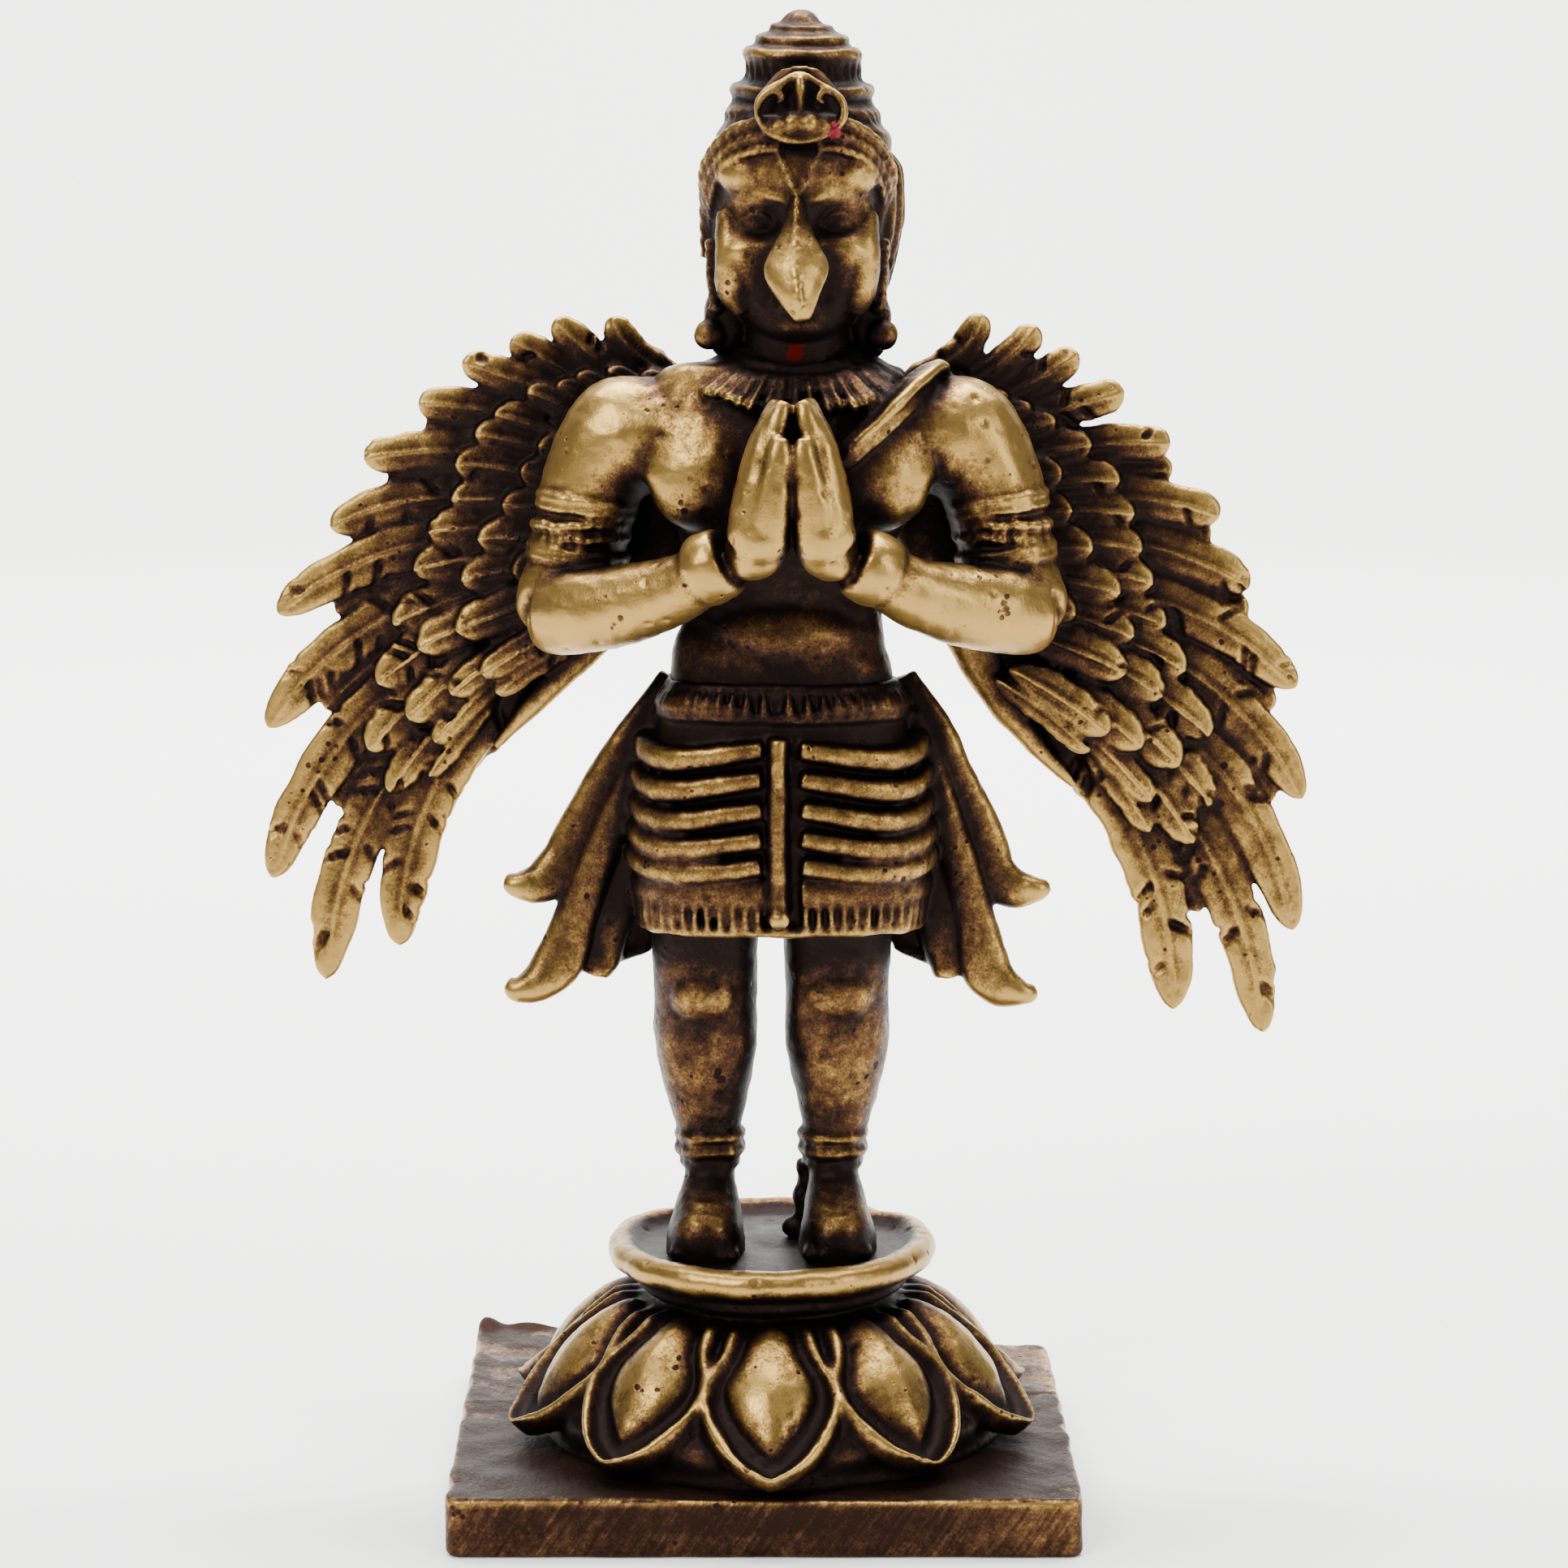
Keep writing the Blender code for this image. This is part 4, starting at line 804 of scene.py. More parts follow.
def makePlinth():
    rings = []
    thick, edge = plinth["thick"], plinth["edge"]
    middle = np.array([plinth["shift"], 0.0])

    def addRing(inset, z, shrink=1.0):
        flat = middle + (plinthOutline(inset) - middle) * shrink
        rings.append(np.column_stack([flat, np.full(len(flat), z)]))

    for shrink in (0.15, 0.5, 0.85):
        addRing(edge, 0.0, shrink)
    for lean in np.radians(np.linspace(-90, 0, 5)):
        addRing(edge * (1 - math.cos(lean)), edge * (1 + math.sin(lean)))
    for z in np.linspace(edge, thick - edge, 14)[1:-1]:
        addRing(0.0, z)
    for lean in np.radians(np.linspace(0, 90, 6)):
        addRing(edge * (1 - math.cos(lean)), thick - edge * (1 - math.sin(lean)))
    for shrink in np.linspace(0.99, 0.35, 34):
        addRing(edge, thick, shrink)
    points, faces = ringSkin(np.array(rings))
    x, y, z = points.T
    stream = np.random.default_rng(5)
    upper = ease((z - 2.6) / 0.7)
    worn = waves(points, 6.0, 0.6, 14, stream)
    burr = 0.75 * bump(x, -19.4, 0.9) * bump(y, 20.2, 0.8) + 0.35 * bump(x, -16.5, 1.6) * bump(y, 20.3, 0.5)
    seams = 0.10 * bump(y - 0.06 * x, 4.4, 0.22) * (np.abs(x) > 14.5)
    seams = seams + 0.06 * bump(y + 0.02 * x, -3.0, 0.16) * (x > 15)
    sag = 0.10 * np.sin(x / 5.0 + 1) * np.sin(y / 7.0)
    z = z + upper * (0.030 * worn + burr + seams + sag)
    side = ease((np.maximum(np.abs(x - plinth["shift"]) / 18.7, np.abs(y) / 16.1) - 0.93) / 0.05)
    push = 0.022 * worn * side
    x = x + push * np.sign(x - plinth["shift"]) * (np.abs(x) > 18)
    print("plinth kept", len(faces))
    return objectFrom("plinth", np.column_stack([x, y - push * (y < -15.9), z]) * mm, faces)


# Wings. A bearing is degrees below level at the shoulder, a reach is to the feather's tip.

wing = {"tips": {
    -1: ((-69, 11.5), (-50.5, 13.6), (-36, 15.2), (-23.5, 17.6), (-10.5, 20.2), (2, 24.4),
         (13.5, 28.1), (23.2, 34.6), (35.2, 40.1), (47.6, 48.3), (57.3, 52.5), (62.0, 46.9)),
    1: ((-72.5, 11.4), (-51, 12.7), (-34, 13.8), (-17, 16.0), (-1.2, 19.2), (13.6, 23.9),
        (24.0, 28.3), (33.5, 35.8), (43.5, 42.2), (53.2, 50.0), (60.55, 56.1), (66.8, 50.9)),
}, "allowance": (1.005, 0.998), "shoulder": (10.9, 65.1), "rootStart": (6.6, 69.8),
    "rootEnd": {-1: (17.2, 49.8), 1: (15.0, 46.4)}, "setback": 5.57, "thick": 0.76,
    "between": {-1: (0.86, 0.74, 0.73), 1: (0.90, 0.88, 0.76)}, "rows": (16, 13, 11, 8), "rowGap": 4.7,
    "lobe": 9.5, "pull": (0.44, 0.57), "voxel": 0.15, "triangles": 155000}


def wingMiddle(hand):
    return 2.3 + 0.3 * hand


def featherLine(share, start, end, hand, steps):
    # Quadratic curve from the root on the wing's arm to the tip, which curls downwards
    tips = wing["tips"][hand]
    spots = np.linspace(0, 1, len(tips))
    bearing = np.interp(share, spots, [tip[0] for tip in tips])
    reach = np.interp(share, (0.3, 0.6), wing["allowance"]) * np.interp(share, spots, [tip[1] for tip in tips])
    aim = math.radians(bearing)
    tip = np.array([wing["shoulder"][0] + reach * math.cos(aim), wing["shoulder"][1] - reach * math.sin(aim)])
    root = np.array(wing["rootStart"]) * (1 - share) + np.array(wing["rootEnd"][hand]) * share
    droop = 3.5 * ease((share - 0.65) / 0.15) + 3 * (hand > 0) * bump(share, 0.80, 0.09)
    curl = math.radians(1.22 * bearing + 8 - 3 * hand + droop)
    pull = np.interp(share, (0.55, 0.85), wing["pull"]) * np.linalg.norm(tip - root)
    knee = tip - pull * np.array([math.cos(curl), -math.sin(curl)])
    t = start + (end - start) * np.linspace(0, 1, steps)[:, None]
    line = (1 - t) ** 2 * root + 2 * t * (1 - t) * knee + t**2 * tip
    return np.column_stack([wingMiddle(hand) + hand * line[:, 0], line[:, 1]])


def lineGap(hand, share, step, end):
    # Distance between two feathers' lines at the same share of their length
    here, there = [featherLine(place, end - 0.01, end, hand, 2)[1] for place in (share, share + step)]
    return np.linalg.norm(here - there)


def featherPart(hand, share, start, end, wide, layer, flat, cuts, point=1.2, shaft=0.30):
    # Long lobe: its outline swells and closes to a round point, a shaft runs down its middle, and short
    # slanting cuts part the barbs. A flat one was filed, others are pillowed.
    steps = 90
    line = featherLine(share, start, end, hand, steps)
    length = np.linalg.norm(np.diff(line, axis=0), axis=1).sum()
    along = unitRows(np.gradient(line, axis=0))
    middle = np.column_stack([line[:, 0], np.full(steps, 0.0), line[:, 1]])
    lift = np.linspace(0, 1, steps)
    depth = wing["setback"] + end - layer * wing["thick"] * 0.82 + 0.35 * (1 - lift) * (layer > 0)
    middle[:, 1] = depth
    across = np.column_stack([-along[:, 1], np.zeros(steps), along[:, 0]])
    out = np.tile((0.0, -1.0, 0.0), (steps, 1))
    cutSpots = [(chance.uniform(0.25, 0.97) * length, chance.choice((-1, 1)), chance.uniform(0.55, 0.95))
                for _ in range(cuts)]
    phase = chance.uniform(0, 6)

    def half(u, v):
        narrowing = np.clip((u - 1) * length / (wide * point) + 1, 0, 1)
        body = (0.70 + 0.30 * np.sin(np.pi * np.clip(u * 0.75 + 0.12, 0, 1))) * np.sqrt(1 - narrowing**2)
        body = body * np.sqrt(np.clip(u * length / (1.6 * wide) + 0.01, 0, 1))
        ragged = 1 + 0.035 * np.sin(u * 23 + phase + 2 * np.sign(v)) + 0.025 * np.sin(u * 51 + phase * 2)
        for spot, side, _ in cutSpots:
            notch = bump(u * length, spot, 0.16) * (np.sign(v) == side) * ease((np.abs(v) - 0.7) / 0.2)
            ragged = ragged - 0.16 * notch
        return np.maximum(wide * body * ragged, 0.05)

    def top(u, v):
        m = np.abs(v)
        rise = wing["thick"] * (1.05 - 0.30 * u)
        pillow = rise * (flat + (1 - flat) * np.sqrt(np.clip(1 - v**2, 0, 1)))
        ridge = shaft * (bump(v * wide, 0, 0.22) * (1 - 0.5 * u) - 0.5 * bump(m * wide, 0.46, 0.18))
        cut = 0
        for spot, side, deep in cutSpots:
            slant = u * length - spot - m * wide * 0.65
            cut = cut + 1.2 * bump(slant, 0, 0.22) * (np.sign(v) == side) * ease((m - 0.95 + deep) / 0.15)
        return np.maximum(pillow + ridge - cut, 0.05)

    def bottom(u, v):
        return wing["thick"] * (1.0 - 0.35 * u) + 0 * v

    return sheet(middle, across, out, half, top, bottom, edge=3.0 + 2 * flat, cells=44)


def wingParts(hand):
    parts = []
    count = len(wing["tips"][hand])
    for i in range(count):
        share = i / (count - 1)
        low = ease((share - 0.45) / 0.25)
        parts.append(featherPart(hand, share, 0.02, 1.0, 1.42 + 0.85 * share, 0.45 * (i % 2), 0.35 + 0.6 * low,
                                 int(3 + 9 * low), point=1.1 + 1.5 * low, shaft=0.30 - 0.05 * low))
        if i:
            between = (i - 0.5) / (count - 1)
            if share > 0.45:
                end = np.interp(share, (0.5, 0.78, 0.9), wing["between"][hand])
                parts.append(featherPart(hand, between, 0.05, end, 1.25 + 0.85 * share, -0.95, 0.8,
                                         int(2 + 6 * low), point=1.2 + 1.0 * low))
            # Web behind the gaps
            parts.append(featherPart(hand, between, 0.05, 0.66 - 0.06 * low, 2.3 + 1.6 * share, -1.9, 1.0, 0,
                                     shaft=0.0))
    # Coverts lie in rows of even depth, counted from where the flight feathers come free
    for layer, number in enumerate(wing["rows"], start=1):
        for i in range(number):
            share = (i + 0.5 * (layer % 2) + 0.25) / number + chance.uniform(-0.008, 0.008)
            line = featherLine(share, 0.0, 1.0, hand, 30)
            length = np.linalg.norm(np.diff(line, axis=0), axis=1).sum()
            free = 7.0 + 9.5 * ease((share - 0.3) / 0.5)
            end = 1 - (free + wing["rowGap"] * (layer - 1) + chance.uniform(-0.6, 0.6)) / length
            if end < 0.22:
                continue
            low = ease((share - 0.5) / 0.3) * (layer < 2)
            wide = np.clip(0.52 * lineGap(hand, share, 1 / number, end), 1.2, 1.9)
            parts.append(featherPart(hand, share, max(end - wing["lobe"] / length, 0.02), end, wide,
                                     layer, 0.25 + 0.35 * low, int(1 + 4 * low), point=1.2 + 0.3 * low, shaft=0.34))
    # Arm of the wing, from the shoulder blade down its inner edge
    x, end = wingMiddle(hand), wing["rootEnd"][hand]
    parts.append(tube([(x + hand * 3.0, 3.4, 67.5, 2.6, 2.2), (x + hand * 8.5, 4.6, 66.0, 3.0, 1.9),
                       (x + hand * 10.8, 4.9, 58.5, 3.3, 1.7),
                       (x + hand * (end[0] - 0.95 + 0.65 * hand), 5.2, end[1] + 1.0, 1.7, 1.2),
                       (x + hand * (end[0] + 3.5), 5.5, end[1] - 4.7, 1.1, 0.8),
                       (x + hand * (end[0] + 7.6), 5.9, end[1] - 9.2, 0.35, 0.35)],
                      sides=40))
    return parts


pieces = [
    cast("leftWing", wingParts(-1), wing["voxel"], wing["triangles"], evening=1),
    cast("rightWing", wingParts(1), wing["voxel"], wing["triangles"], evening=1),
    cast("headAndCrown", headParts(), head["voxel"], head["triangles"], evening=1, wobble=0.06, pits=60),
    cast("bodyAndArms", torsoParts() + armParts(-1) + armParts(1), body["voxel"], body["triangles"], pits=140),
    cast("skirtAndSash", skirtParts() + sashParts(-1) + sashParts(1), skirt["voxel"], skirt["triangles"], pits=40),
    cast("legsAndFeet", legParts(), legs["voxel"], legs["triangles"], pits=50),
    cast("lotusAndDisc", lotusParts(), lotus["voxel"], lotus["triangles"], place=lambda points: points * mm,
         wobble=0.05, pits=160),
    makePlinth(),
]
for obj in pieces:
    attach(obj, "root")
    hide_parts("garuda_statue")
print("pieces made")


# What the patina and the painted shade go by, worked out on the finished meshes: how crowded the space in front of a
# point is with other surface, near and far, and how far the point stands over its evened surroundings. Near crowding is
# patina in the hollows; far crowding is painted shade under and between parts.

def crowding(pieces, reaches):
    # Surface area summed in cells, blurred by a bell of each reach, over what a plane would give
    cell = 0.4 * mm
    low = np.array(lowCorner) - 3 * mm
    size = np.ceil((np.array(highCorner) + 3 * mm - low) / cell).astype(int)
    grid = np.zeros(size)
    for obj in pieces:
        area = readArray(obj.data.polygons, "area", 1)[:, 0].astype(float)
        middle = readArray(obj.data.polygons, "center", 3).astype(float)
        spot = np.clip(((middle - low) / cell).astype(int), 0, size - 1)
        np.add.at(grid, tuple(spot.T), area)
    spectrum = np.fft.rfftn(grid)
    waveX, waveY = np.fft.fftfreq(size[0])[:, None, None], np.fft.fftfreq(size[1])[None, :, None]
    waveZ = np.fft.rfftfreq(size[2])[None, None, :]
    squares = waveX**2 + waveY**2 + waveZ**2
    fields = []
    for reach in reaches:
        spread = reach / cell
        blurred = np.fft.irfftn(spectrum * np.exp(-2 * math.pi**2 * spread**2 * squares), s=tuple(size))
        flatLevel = cell**3 / (math.sqrt(2 * math.pi) * reach) * math.exp(-0.5)   # what a plane would give
        fields.append(blurred / flatLevel)
    return fields, low, cell, size


def sampled(field, low, cell, size, points):
    # Value between the cells' middles, weighted along the three axes
    place = np.clip((points - low) / cell - 0.5, 0, size - 1.001)
    base = place.astype(int)
    part = place - base
    total = np.zeros(len(points))
    for corner in range(8):
        step = np.array([corner & 1, corner >> 1 & 1, corner >> 2 & 1])
        weight = np.prod(np.where(step, part, 1 - part), axis=1)
        i, j, k = (base + step).T
        total += weight * field[i, j, k]
    return total


def storeField(mesh, name, values):
    layer = mesh.attributes.new(name, "FLOAT", "POINT")
    layer.data.foreach_set("value", np.asarray(values, np.float32))


def placedPatinaAndShade(name, points):
    # Darker or lighter by place, besides the hollows: brown patina where handling never wore the skin through, and
    # painted shade behind the hands and near the plinth's foot
    x, y, z = ((points - np.array([0, 0, discTop])) / hundredth).T
    front = ease((-y - 1.0) / 3)
    if name == "bodyAndArms":
        belly = 0.9 * bump(z, 51.0, 4.5) * bump(x, 1, 8) * ease((y + 8.0) / 1.5)
        chest = -0.8 * bump(z, 66.5, 3.6) * ease((np.abs(x - 1.7) - 2.5) / 2) * front
        # Darker on the chest behind the joined hands: painted shade of the hands
        return belly + chest + 0.8 * bump(z, 62, 6) * bump(x, 1.8, 3.2) * ease((y + 8.5) / 2)
    if name == "headAndCrown":
        throat = 1.3 * bump(z, 75.0, 2.3)
        throat = throat + 0.7 * bump(z, 79.0, 2.5) * bump(np.abs(x - 2.1), 2.6, 1.2) * ease((y + 8.2) / 1.2)
        sockets = 0.7 * bump(z, 83.3, 1.2) * bump(np.abs(x - 2.1), 3.1, 1.6) * front
        forehead = 0.7 * bump(x, 3.4, 2.0) * bump(z, 87.5, 2.0) * front
        forehead = forehead + 0.9 * bump(z, 83.2, 2.0) * bump(x, 2.1, 1.6) * ease((-y - 6.0) / 1.0)
        hair = 1.0 * ease((np.abs(x - 2.1) - 5.7) / 0.9) * ease((z - 78) / 2) + 1.2 * ease((z - 88.2) / 0.8)
        return throat + sockets + forehead + np.minimum(hair, 1.2) + 0.6 * ease((y - 1.0) / 3)
    if name == "skirtAndSash":
        return 0.7 - 0.3 * ease((np.abs(x - 0.65) - 11) / 2) + 1.1 * bump(z, 47, 2.6)
    if name == "legsAndFeet":
        return 0.8 * bump(z, 14, 4) + 0.9 * ease((z - 22) / 4) + 0.3
    if name in ("leftWing", "rightWing"):
        return 0.8 * ease((z - 56) / 8) - 0.9 * ease((54 - z) / 8) + 0.3 * (name == "leftWing")
    if name == "plinth":
        rise = points[:, 2] / mm
        flat = ease((rise - 3.42) / 0.05)
        # Top brown all over; sides lighter along their upper part and darker towards the bottom, that dark a painted
        # shade near the floor
        return 1.0 * flat + (1 - flat) * (-0.4 + 1.4 * ease((2.2 - rise) / 0.8) - 3.4 * ease((rise - 3.05) / 0.3))
    # Lotus: under the petals' ends and on the disc between the feet
    radius = np.hypot(points[:, 0], points[:, 1]) / mm
    under = 0.5 * ease((radius - 13.0) / 1.5) * bump(points[:, 2] / mm, 4.0, 1.5)
    return 0.5 + under + 0.7 * (z > -0.6) * (radius < 8.5)


reaches = (0.7 * mm, 1.6 * mm, 4.0 * mm)
fields, low, cell, size = crowding(pieces, reaches)
for obj in pieces:
    mesh = obj.data
    points = readArray(mesh.vertices, "co", 3).astype(float)
    normals = readArray(mesh.vertex_normals, "vector", 3).astype(float)
    edges = readArray(mesh.edges, "vertices", 2, np.int32)
    near, mid, far = [sampled(field, low, cell, size, points + normals * reach)
                      for field, reach in zip(fields, reaches)]
    even = evened(points, edges, 8)
    wide = evened(even, edges, 50)
    fine = ((points - even) * normals).sum(1) / (0.05 * mm)
    broad = ((points - wide) * normals).sum(1) / (0.25 * mm)
    hollow = np.clip(0.55 * (near - 0.95) + 0.60 * (mid - 0.95) - 0.35 * broad, -1, 2)
    storeField(mesh, "hollow", hollow)
    storeField(mesh, "ridge", np.clip(0.5 * fine + 0.8 * broad, -2, 2))
    # Painted shade where other parts crowd the space far in front, added to the patina and painted shade placed on each
    # piece
    storeField(mesh, "unwornPatinaAndShade", np.clip(far - 0.9, -1, 2) + placedPatinaAndShade(obj.name, points))
print("patina fields stored")


# Finishes. One brass, with its patina and painted shade worked out from the stored fields and four sizes of mottling.
# Each look
# gives the weights, and what they mean: hollow, unwornPatinaAndShade and ridge are how far those fields darken or rub
# the skin, the second as patina and as painted shade under and between parts; blotch, speckle and streak how uneven it
# is; start how brown it is all over; pits how many show; fileGap the distance between file marks in mm; filing their
# depth; fileTurn their slant.

def colour(code):
    # Hex sRGB to the linear values that the shader takes
    parts = [int(code[i:i + 2], 16) / 255 for i in (1, 3, 5)]
    return tuple(p / 12.92 if p <= 0.04045 else ((p + 0.055) / 1.055) ** 2.4 for p in parts) + (1.0,)


def addNode(tree, kind, settings=None, inputs=None):
    # An input is a fixed value or another node's output
    node = tree.nodes.new(kind)
    for name, value in (settings or {}).items():
        setattr(node, name, value)
    for socket, value in (inputs or {}).items():
        if isinstance(value, bpy.types.NodeSocket):
            tree.links.new(value, node.inputs[socket])
        else:
            node.inputs[socket].default_value = value
    return node


mottling = {                            # size in mm, detail, roughness
    "blotch": (3.03, 4.0, 0.6),         # stains
    "speckle": (0.6667, 3.0, 0.65),     # lumps left by the mould
    "grain": (0.15385, 2.0, 0.6),       # sand of the mould, drawn about twice as coarse as it is
    "gathering": (1.923, 2.0, 0.5),     # where pits come together
}
pitGap = 0.7692                         # mm between pits


def brassFinish(name, look):
    material = bpy.data.materials.new(name)
    material.use_nodes = True
    tree = material.node_tree
    place = addNode(tree, "ShaderNodeTexCoord").outputs["Object"]
    fields = {}
    for field in ("hollow", "ridge", "unwornPatinaAndShade"):
        fields[field] = addNode(tree, "ShaderNodeAttribute", {"attribute_name": field}).outputs["Fac"]
    for field, (size, detail, roughness) in mottling.items():
        fields[field] = addNode(tree, "ShaderNodeTexNoise", None, {
            "Vector": place, "Scale": 1 / (size * mm), "Detail": detail, "Roughness": roughness}).outputs["Fac"]
    fields["pitAway"] = addNode(tree, "ShaderNodeTexVoronoi", None, {
        "Vector": place, "Scale": 1 / (pitGap * mm)}).outputs["Distance"]
    # File marks: noise drawn out along one slanting way
    drawnOut = addNode(tree, "ShaderNodeMapping", {"vector_type": "TEXTURE"}, {
        "Vector": place, "Rotation": look["fileTurn"], "Scale": (1.0, 2.0, 16.0)}).outputs["Vector"]
    fields["scratch"] = addNode(tree, "ShaderNodeTexNoise", None, {
        "Vector": drawnOut, "Scale": 1 / (look["fileGap"] * mm), "Detail": 2.0, "Roughness": 0.7}).outputs["Fac"]

    # Weighted sums: the name, the value to start from, each field with its weight, and whether it is clamped
    mean = 0.5 * (look["blotch"] + look["speckle"] + look["streak"] + 0.7)
    shiny, dull = look["gloss"]
    sums = [
        ("pit", -4.32 * look["pits"], {"gathering": 9 * look["pits"], "pitAway": -9.0}, True),
        ("patinaAndShade", look["start"] - mean,
         {"hollow": look["hollow"], "unwornPatinaAndShade": look["unwornPatinaAndShade"], "ridge": -look["ridge"], "blotch": look["blotch"],
          "speckle": look["speckle"], "grain": 0.7, "scratch": look["streak"], "pit": 0.6}, True),
        ("rough", shiny - 0.11, {"patinaAndShade": dull - shiny, "grain": 0.22}, False),
        ("height", 0.0, {"grain": 0.35, "speckle": 0.9, "scratch": look["filing"], "pit": -1.6}, False),
    ]
    for i, (spot, radius, _) in enumerate(look["paint"]):
        fields[f"away{i}"] = addNode(tree, "ShaderNodeVectorMath", {"operation": "DISTANCE"},
                                     {0: place, 1: spot}).outputs["Value"]
        sums.append((f"cover{i}", 12.6, {f"away{i}": -6.0 / radius, "speckle": -13.2}, True))
    for field, total, terms, clamped in sums:
        for term, weight in terms.items():
            total = addNode(tree, "ShaderNodeMath", {"operation": "MULTIPLY_ADD"},
                            {0: fields[term], 1: weight, 2: total}).outputs["Value"]
        if clamped:
            total = addNode(tree, "ShaderNodeClamp", None, {"Value": total}).outputs["Result"]
        fields[field] = total

    tint = addNode(tree, "ShaderNodeValToRGB", None, {"Fac": fields["patinaAndShade"]})
    ramp = tint.color_ramp
    while len(ramp.elements) < len(look["colours"]):
        ramp.elements.new(0.5)
    for element, (position, code) in zip(ramp.elements, look["colours"]):
        element.position = position
        element.color = colour(code)
    base = tint.outputs["Color"]
    for i, (_, _, code) in enumerate(look["paint"]):
        base = addNode(tree, "ShaderNodeMix", {"data_type": "RGBA"},
                       {0: fields[f"cover{i}"], 6: base, 7: colour(code)}).outputs[2]
    relief = addNode(tree, "ShaderNodeBump", None, {
        "Strength": look["bump"], "Distance": 0.05 * mm, "Height": fields["height"]})
    shader = tree.nodes["Principled BSDF"]
    shader.inputs["Metallic"].default_value = 0.92
    shader.inputs["Specular IOR Level"].default_value = 0.2
    tree.links.new(base, shader.inputs["Base Color"])
    tree.links.new(fields["rough"], shader.inputs["Roughness"])
    tree.links.new(relief.outputs["Normal"], shader.inputs["Normal"])
    return material


# Antique cast brass, dipped dark and rubbed: dull gold where hands reach, umber where they seldom do, and
# near black in the hollows, with a soft gleam that the brown loses. The painted shade darkens along the same browns.
antiqueColours = ((0.0, "#a08044"), (0.22, "#755a2e"), (0.42, "#553d22"), (0.60, "#3e2819"), (0.80, "#2a1b13"),
                  (1.0, "#1a1210"))
# Thin brown skin of the plate, with less gold in it
plateColours = ((0.0, "#94763c"), (0.25, "#6a4e2c"), (0.5, "#4a3220"), (0.75, "#342117"), (1.0, "#261811"))
# Red powder from worship, caught at the throat and on the crest's edge: middle, radius, colour
throatPowder = ((1.45 * mm, -3.3 * mm, 69.75 * mm), 0.62 * mm, "#450706")
crestPowder = ((3.75 * mm, -5.5 * mm, 82.75 * mm), 0.50 * mm, "#6b2029")

castLook = {"hollow": 0.62, "unwornPatinaAndShade": 0.17, "ridge": 0.09, "blotch": 0.45, "speckle": 0.85, "streak": 0.12,
            "start": 0.20, "pits": 1.6, "gloss": (0.34, 0.52), "bump": 0.55, "fileGap": 0.2381, "filing": 0.35,
            "fileTurn": (0.3, 0.2, 0.5), "colours": antiqueColours, "paint": ()}
finishes = (
    # Filed flat and matte on the lower feathers, near black between them
    ("filed wing brass", ("leftWing", "rightWing"),
     dict(castLook, hollow=0.55, unwornPatinaAndShade=0.14, ridge=0.17, start=0.26, speckle=0.6, gloss=(0.40, 0.52), filing=0.7,
          bump=0.6)),
    # Deeper shadows in the eyes, the hair and the crown's steps, and both spots of powder
    ("painted head brass", ("headAndCrown",),
     dict(castLook, unwornPatinaAndShade=0.22, start=0.24, gloss=(0.37, 0.54), paint=(throatPowder, crestPowder))),
    # Chest, shoulders and hands handled bright, with the powder that fell from the throat
    ("rubbed cast brass", ("bodyAndArms",), dict(castLook, paint=(throatPowder,))),
    # Brown in the folds, gold along each rib and on the tails' curled ends
    ("folded skirt brass", ("skirtAndSash",), dict(castLook, start=0.36, hollow=0.5)),
    # Brown mottling over the gold
    ("mottled leg brass", ("legsAndFeet",), dict(castLook, blotch=1.5, start=0.66)),
    # Brown all over, rubbed through on the pillows, the rims and the disc's edge
    ("browned lotus brass", ("lotusAndDisc",),
     dict(castLook, hollow=0.40, unwornPatinaAndShade=0.20, ridge=0.14, blotch=0.7, start=0.26)),
    # Sawn plate, scored on its sides by a coarse file held aslant
    ("sawn plate brass", ("plinth",),
     dict(castLook, hollow=0.25, unwornPatinaAndShade=0.16, ridge=0.10, start=0.96, blotch=0.8, streak=1.1, fileGap=0.3846,
          filing=2.2, fileTurn=(0.0, 0.6, 0.0), gloss=(0.40, 0.60), colours=plateColours)),
)
for name, wearers, look in finishes:
    finish = brassFinish(name, look)
    for obj in pieces:
        if obj.name in wearers:
            obj.data.materials.clear()
            obj.data.materials.append(finish)
print("finishes set")


# Stage: a pale floor that curves up into a backdrop, soft lamps, and the camera

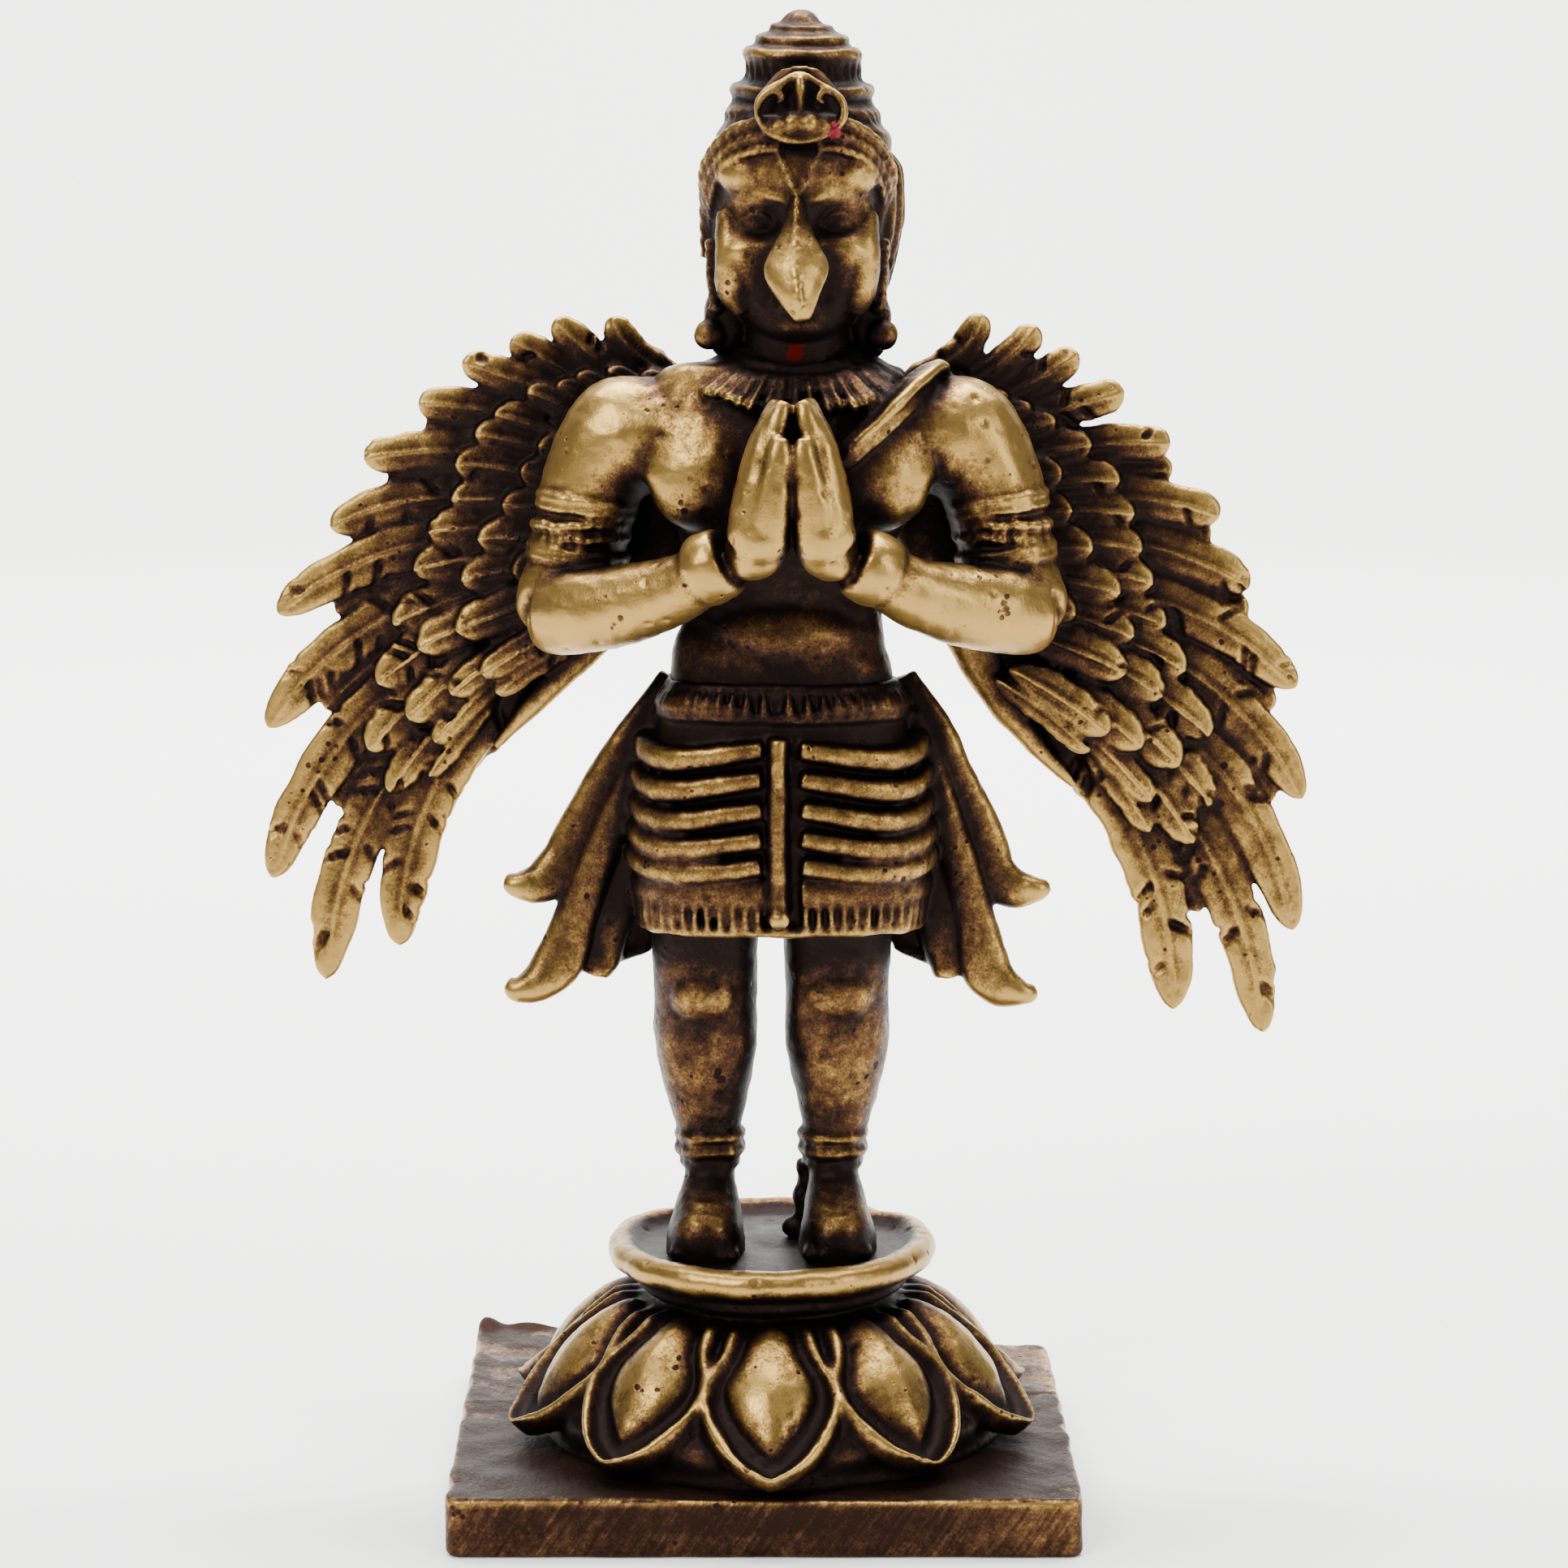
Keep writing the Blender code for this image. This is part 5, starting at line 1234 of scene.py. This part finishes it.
def makeBackdrop():
    # Flat, a quarter circle, then upright
    side = np.linspace(-1.6, 1.6, 2)
    bend = np.radians(np.linspace(0, 90, 24))
    line = [(-1.2, 0.0)] + [(0.75 + 0.35 * math.sin(a), 0.35 - 0.35 * math.cos(a)) for a in bend] + [(1.1, 1.8)]
    points = np.array([(x, y, z) for y, z in line for x in side])
    i = np.arange(len(line) - 1)
    faces = np.concatenate([np.stack([2 * i, 2 * i + 1, 2 * i + 3], 1), np.stack([2 * i, 2 * i + 3, 2 * i + 2], 1)])
    obj = objectFrom("backdrop", points, faces)
    # Uncoated studio paper: even and matte, so it takes only soft shadows
    paper = bpy.data.materials.new("pale paper")
    paper.use_nodes = True
    paper.node_tree.nodes["Principled BSDF"].inputs["Base Color"].default_value = colour("#fbfaf8")
    paper.node_tree.nodes["Principled BSDF"].inputs["Roughness"].default_value = 0.9
    obj.data.materials.append(paper)


def addLamp(name, place, size, power, aim=(0, 0, 0.045)):
    lamp = bpy.data.lights.new(name, "AREA")
    lamp.shape = "RECTANGLE"
    lamp.size, lamp.size_y = size
    lamp.energy = power
    obj = bpy.data.objects.new(name, lamp)
    bpy.context.scene.collection.objects.link(obj)
    obj.location = place
    way = np.array(aim) - np.array(place)
    flat = math.hypot(way[0], way[1])
    obj.rotation_euler = (math.atan2(flat, -way[2]), 0, math.atan2(-way[0], way[1]))


makeBackdrop()
addLamp("key", (-0.28, -0.34, 0.40), (0.28, 0.28), 3.1)         # place and size in metres, power in watts
addLamp("fill", (0.42, -0.30, 0.20), (0.22, 0.34), 1.5)
addLamp("top", (0.02, 0.05, 0.62), (0.45, 0.35), 6.5)
addLamp("backdropLight", (0.0, 0.25, 0.75), (0.9, 0.5), 38.0, aim=(0.0, 0.95, 0.25))

world = bpy.data.worlds.new("studio")
world.use_nodes = True
world.node_tree.nodes["Background"].inputs["Color"].default_value = colour("#f4f2ee")
world.node_tree.nodes["Background"].inputs["Strength"].default_value = 0.20
bpy.context.scene.world = world

camera = bpy.data.cameras.new("camera")
camera.lens = 87.0
camera.sensor_width = 36.0
camera.clip_start = 0.001
cameraObject = bpy.data.objects.new("camera", camera)
bpy.context.scene.collection.objects.link(cameraObject)
cameraObject.location = (0.782 * mm, -229.5 * mm, 75.8 * mm)
cameraObject.rotation_euler = (math.radians(82), 0, 0)
bpy.context.scene.camera = cameraObject
print("stage set")
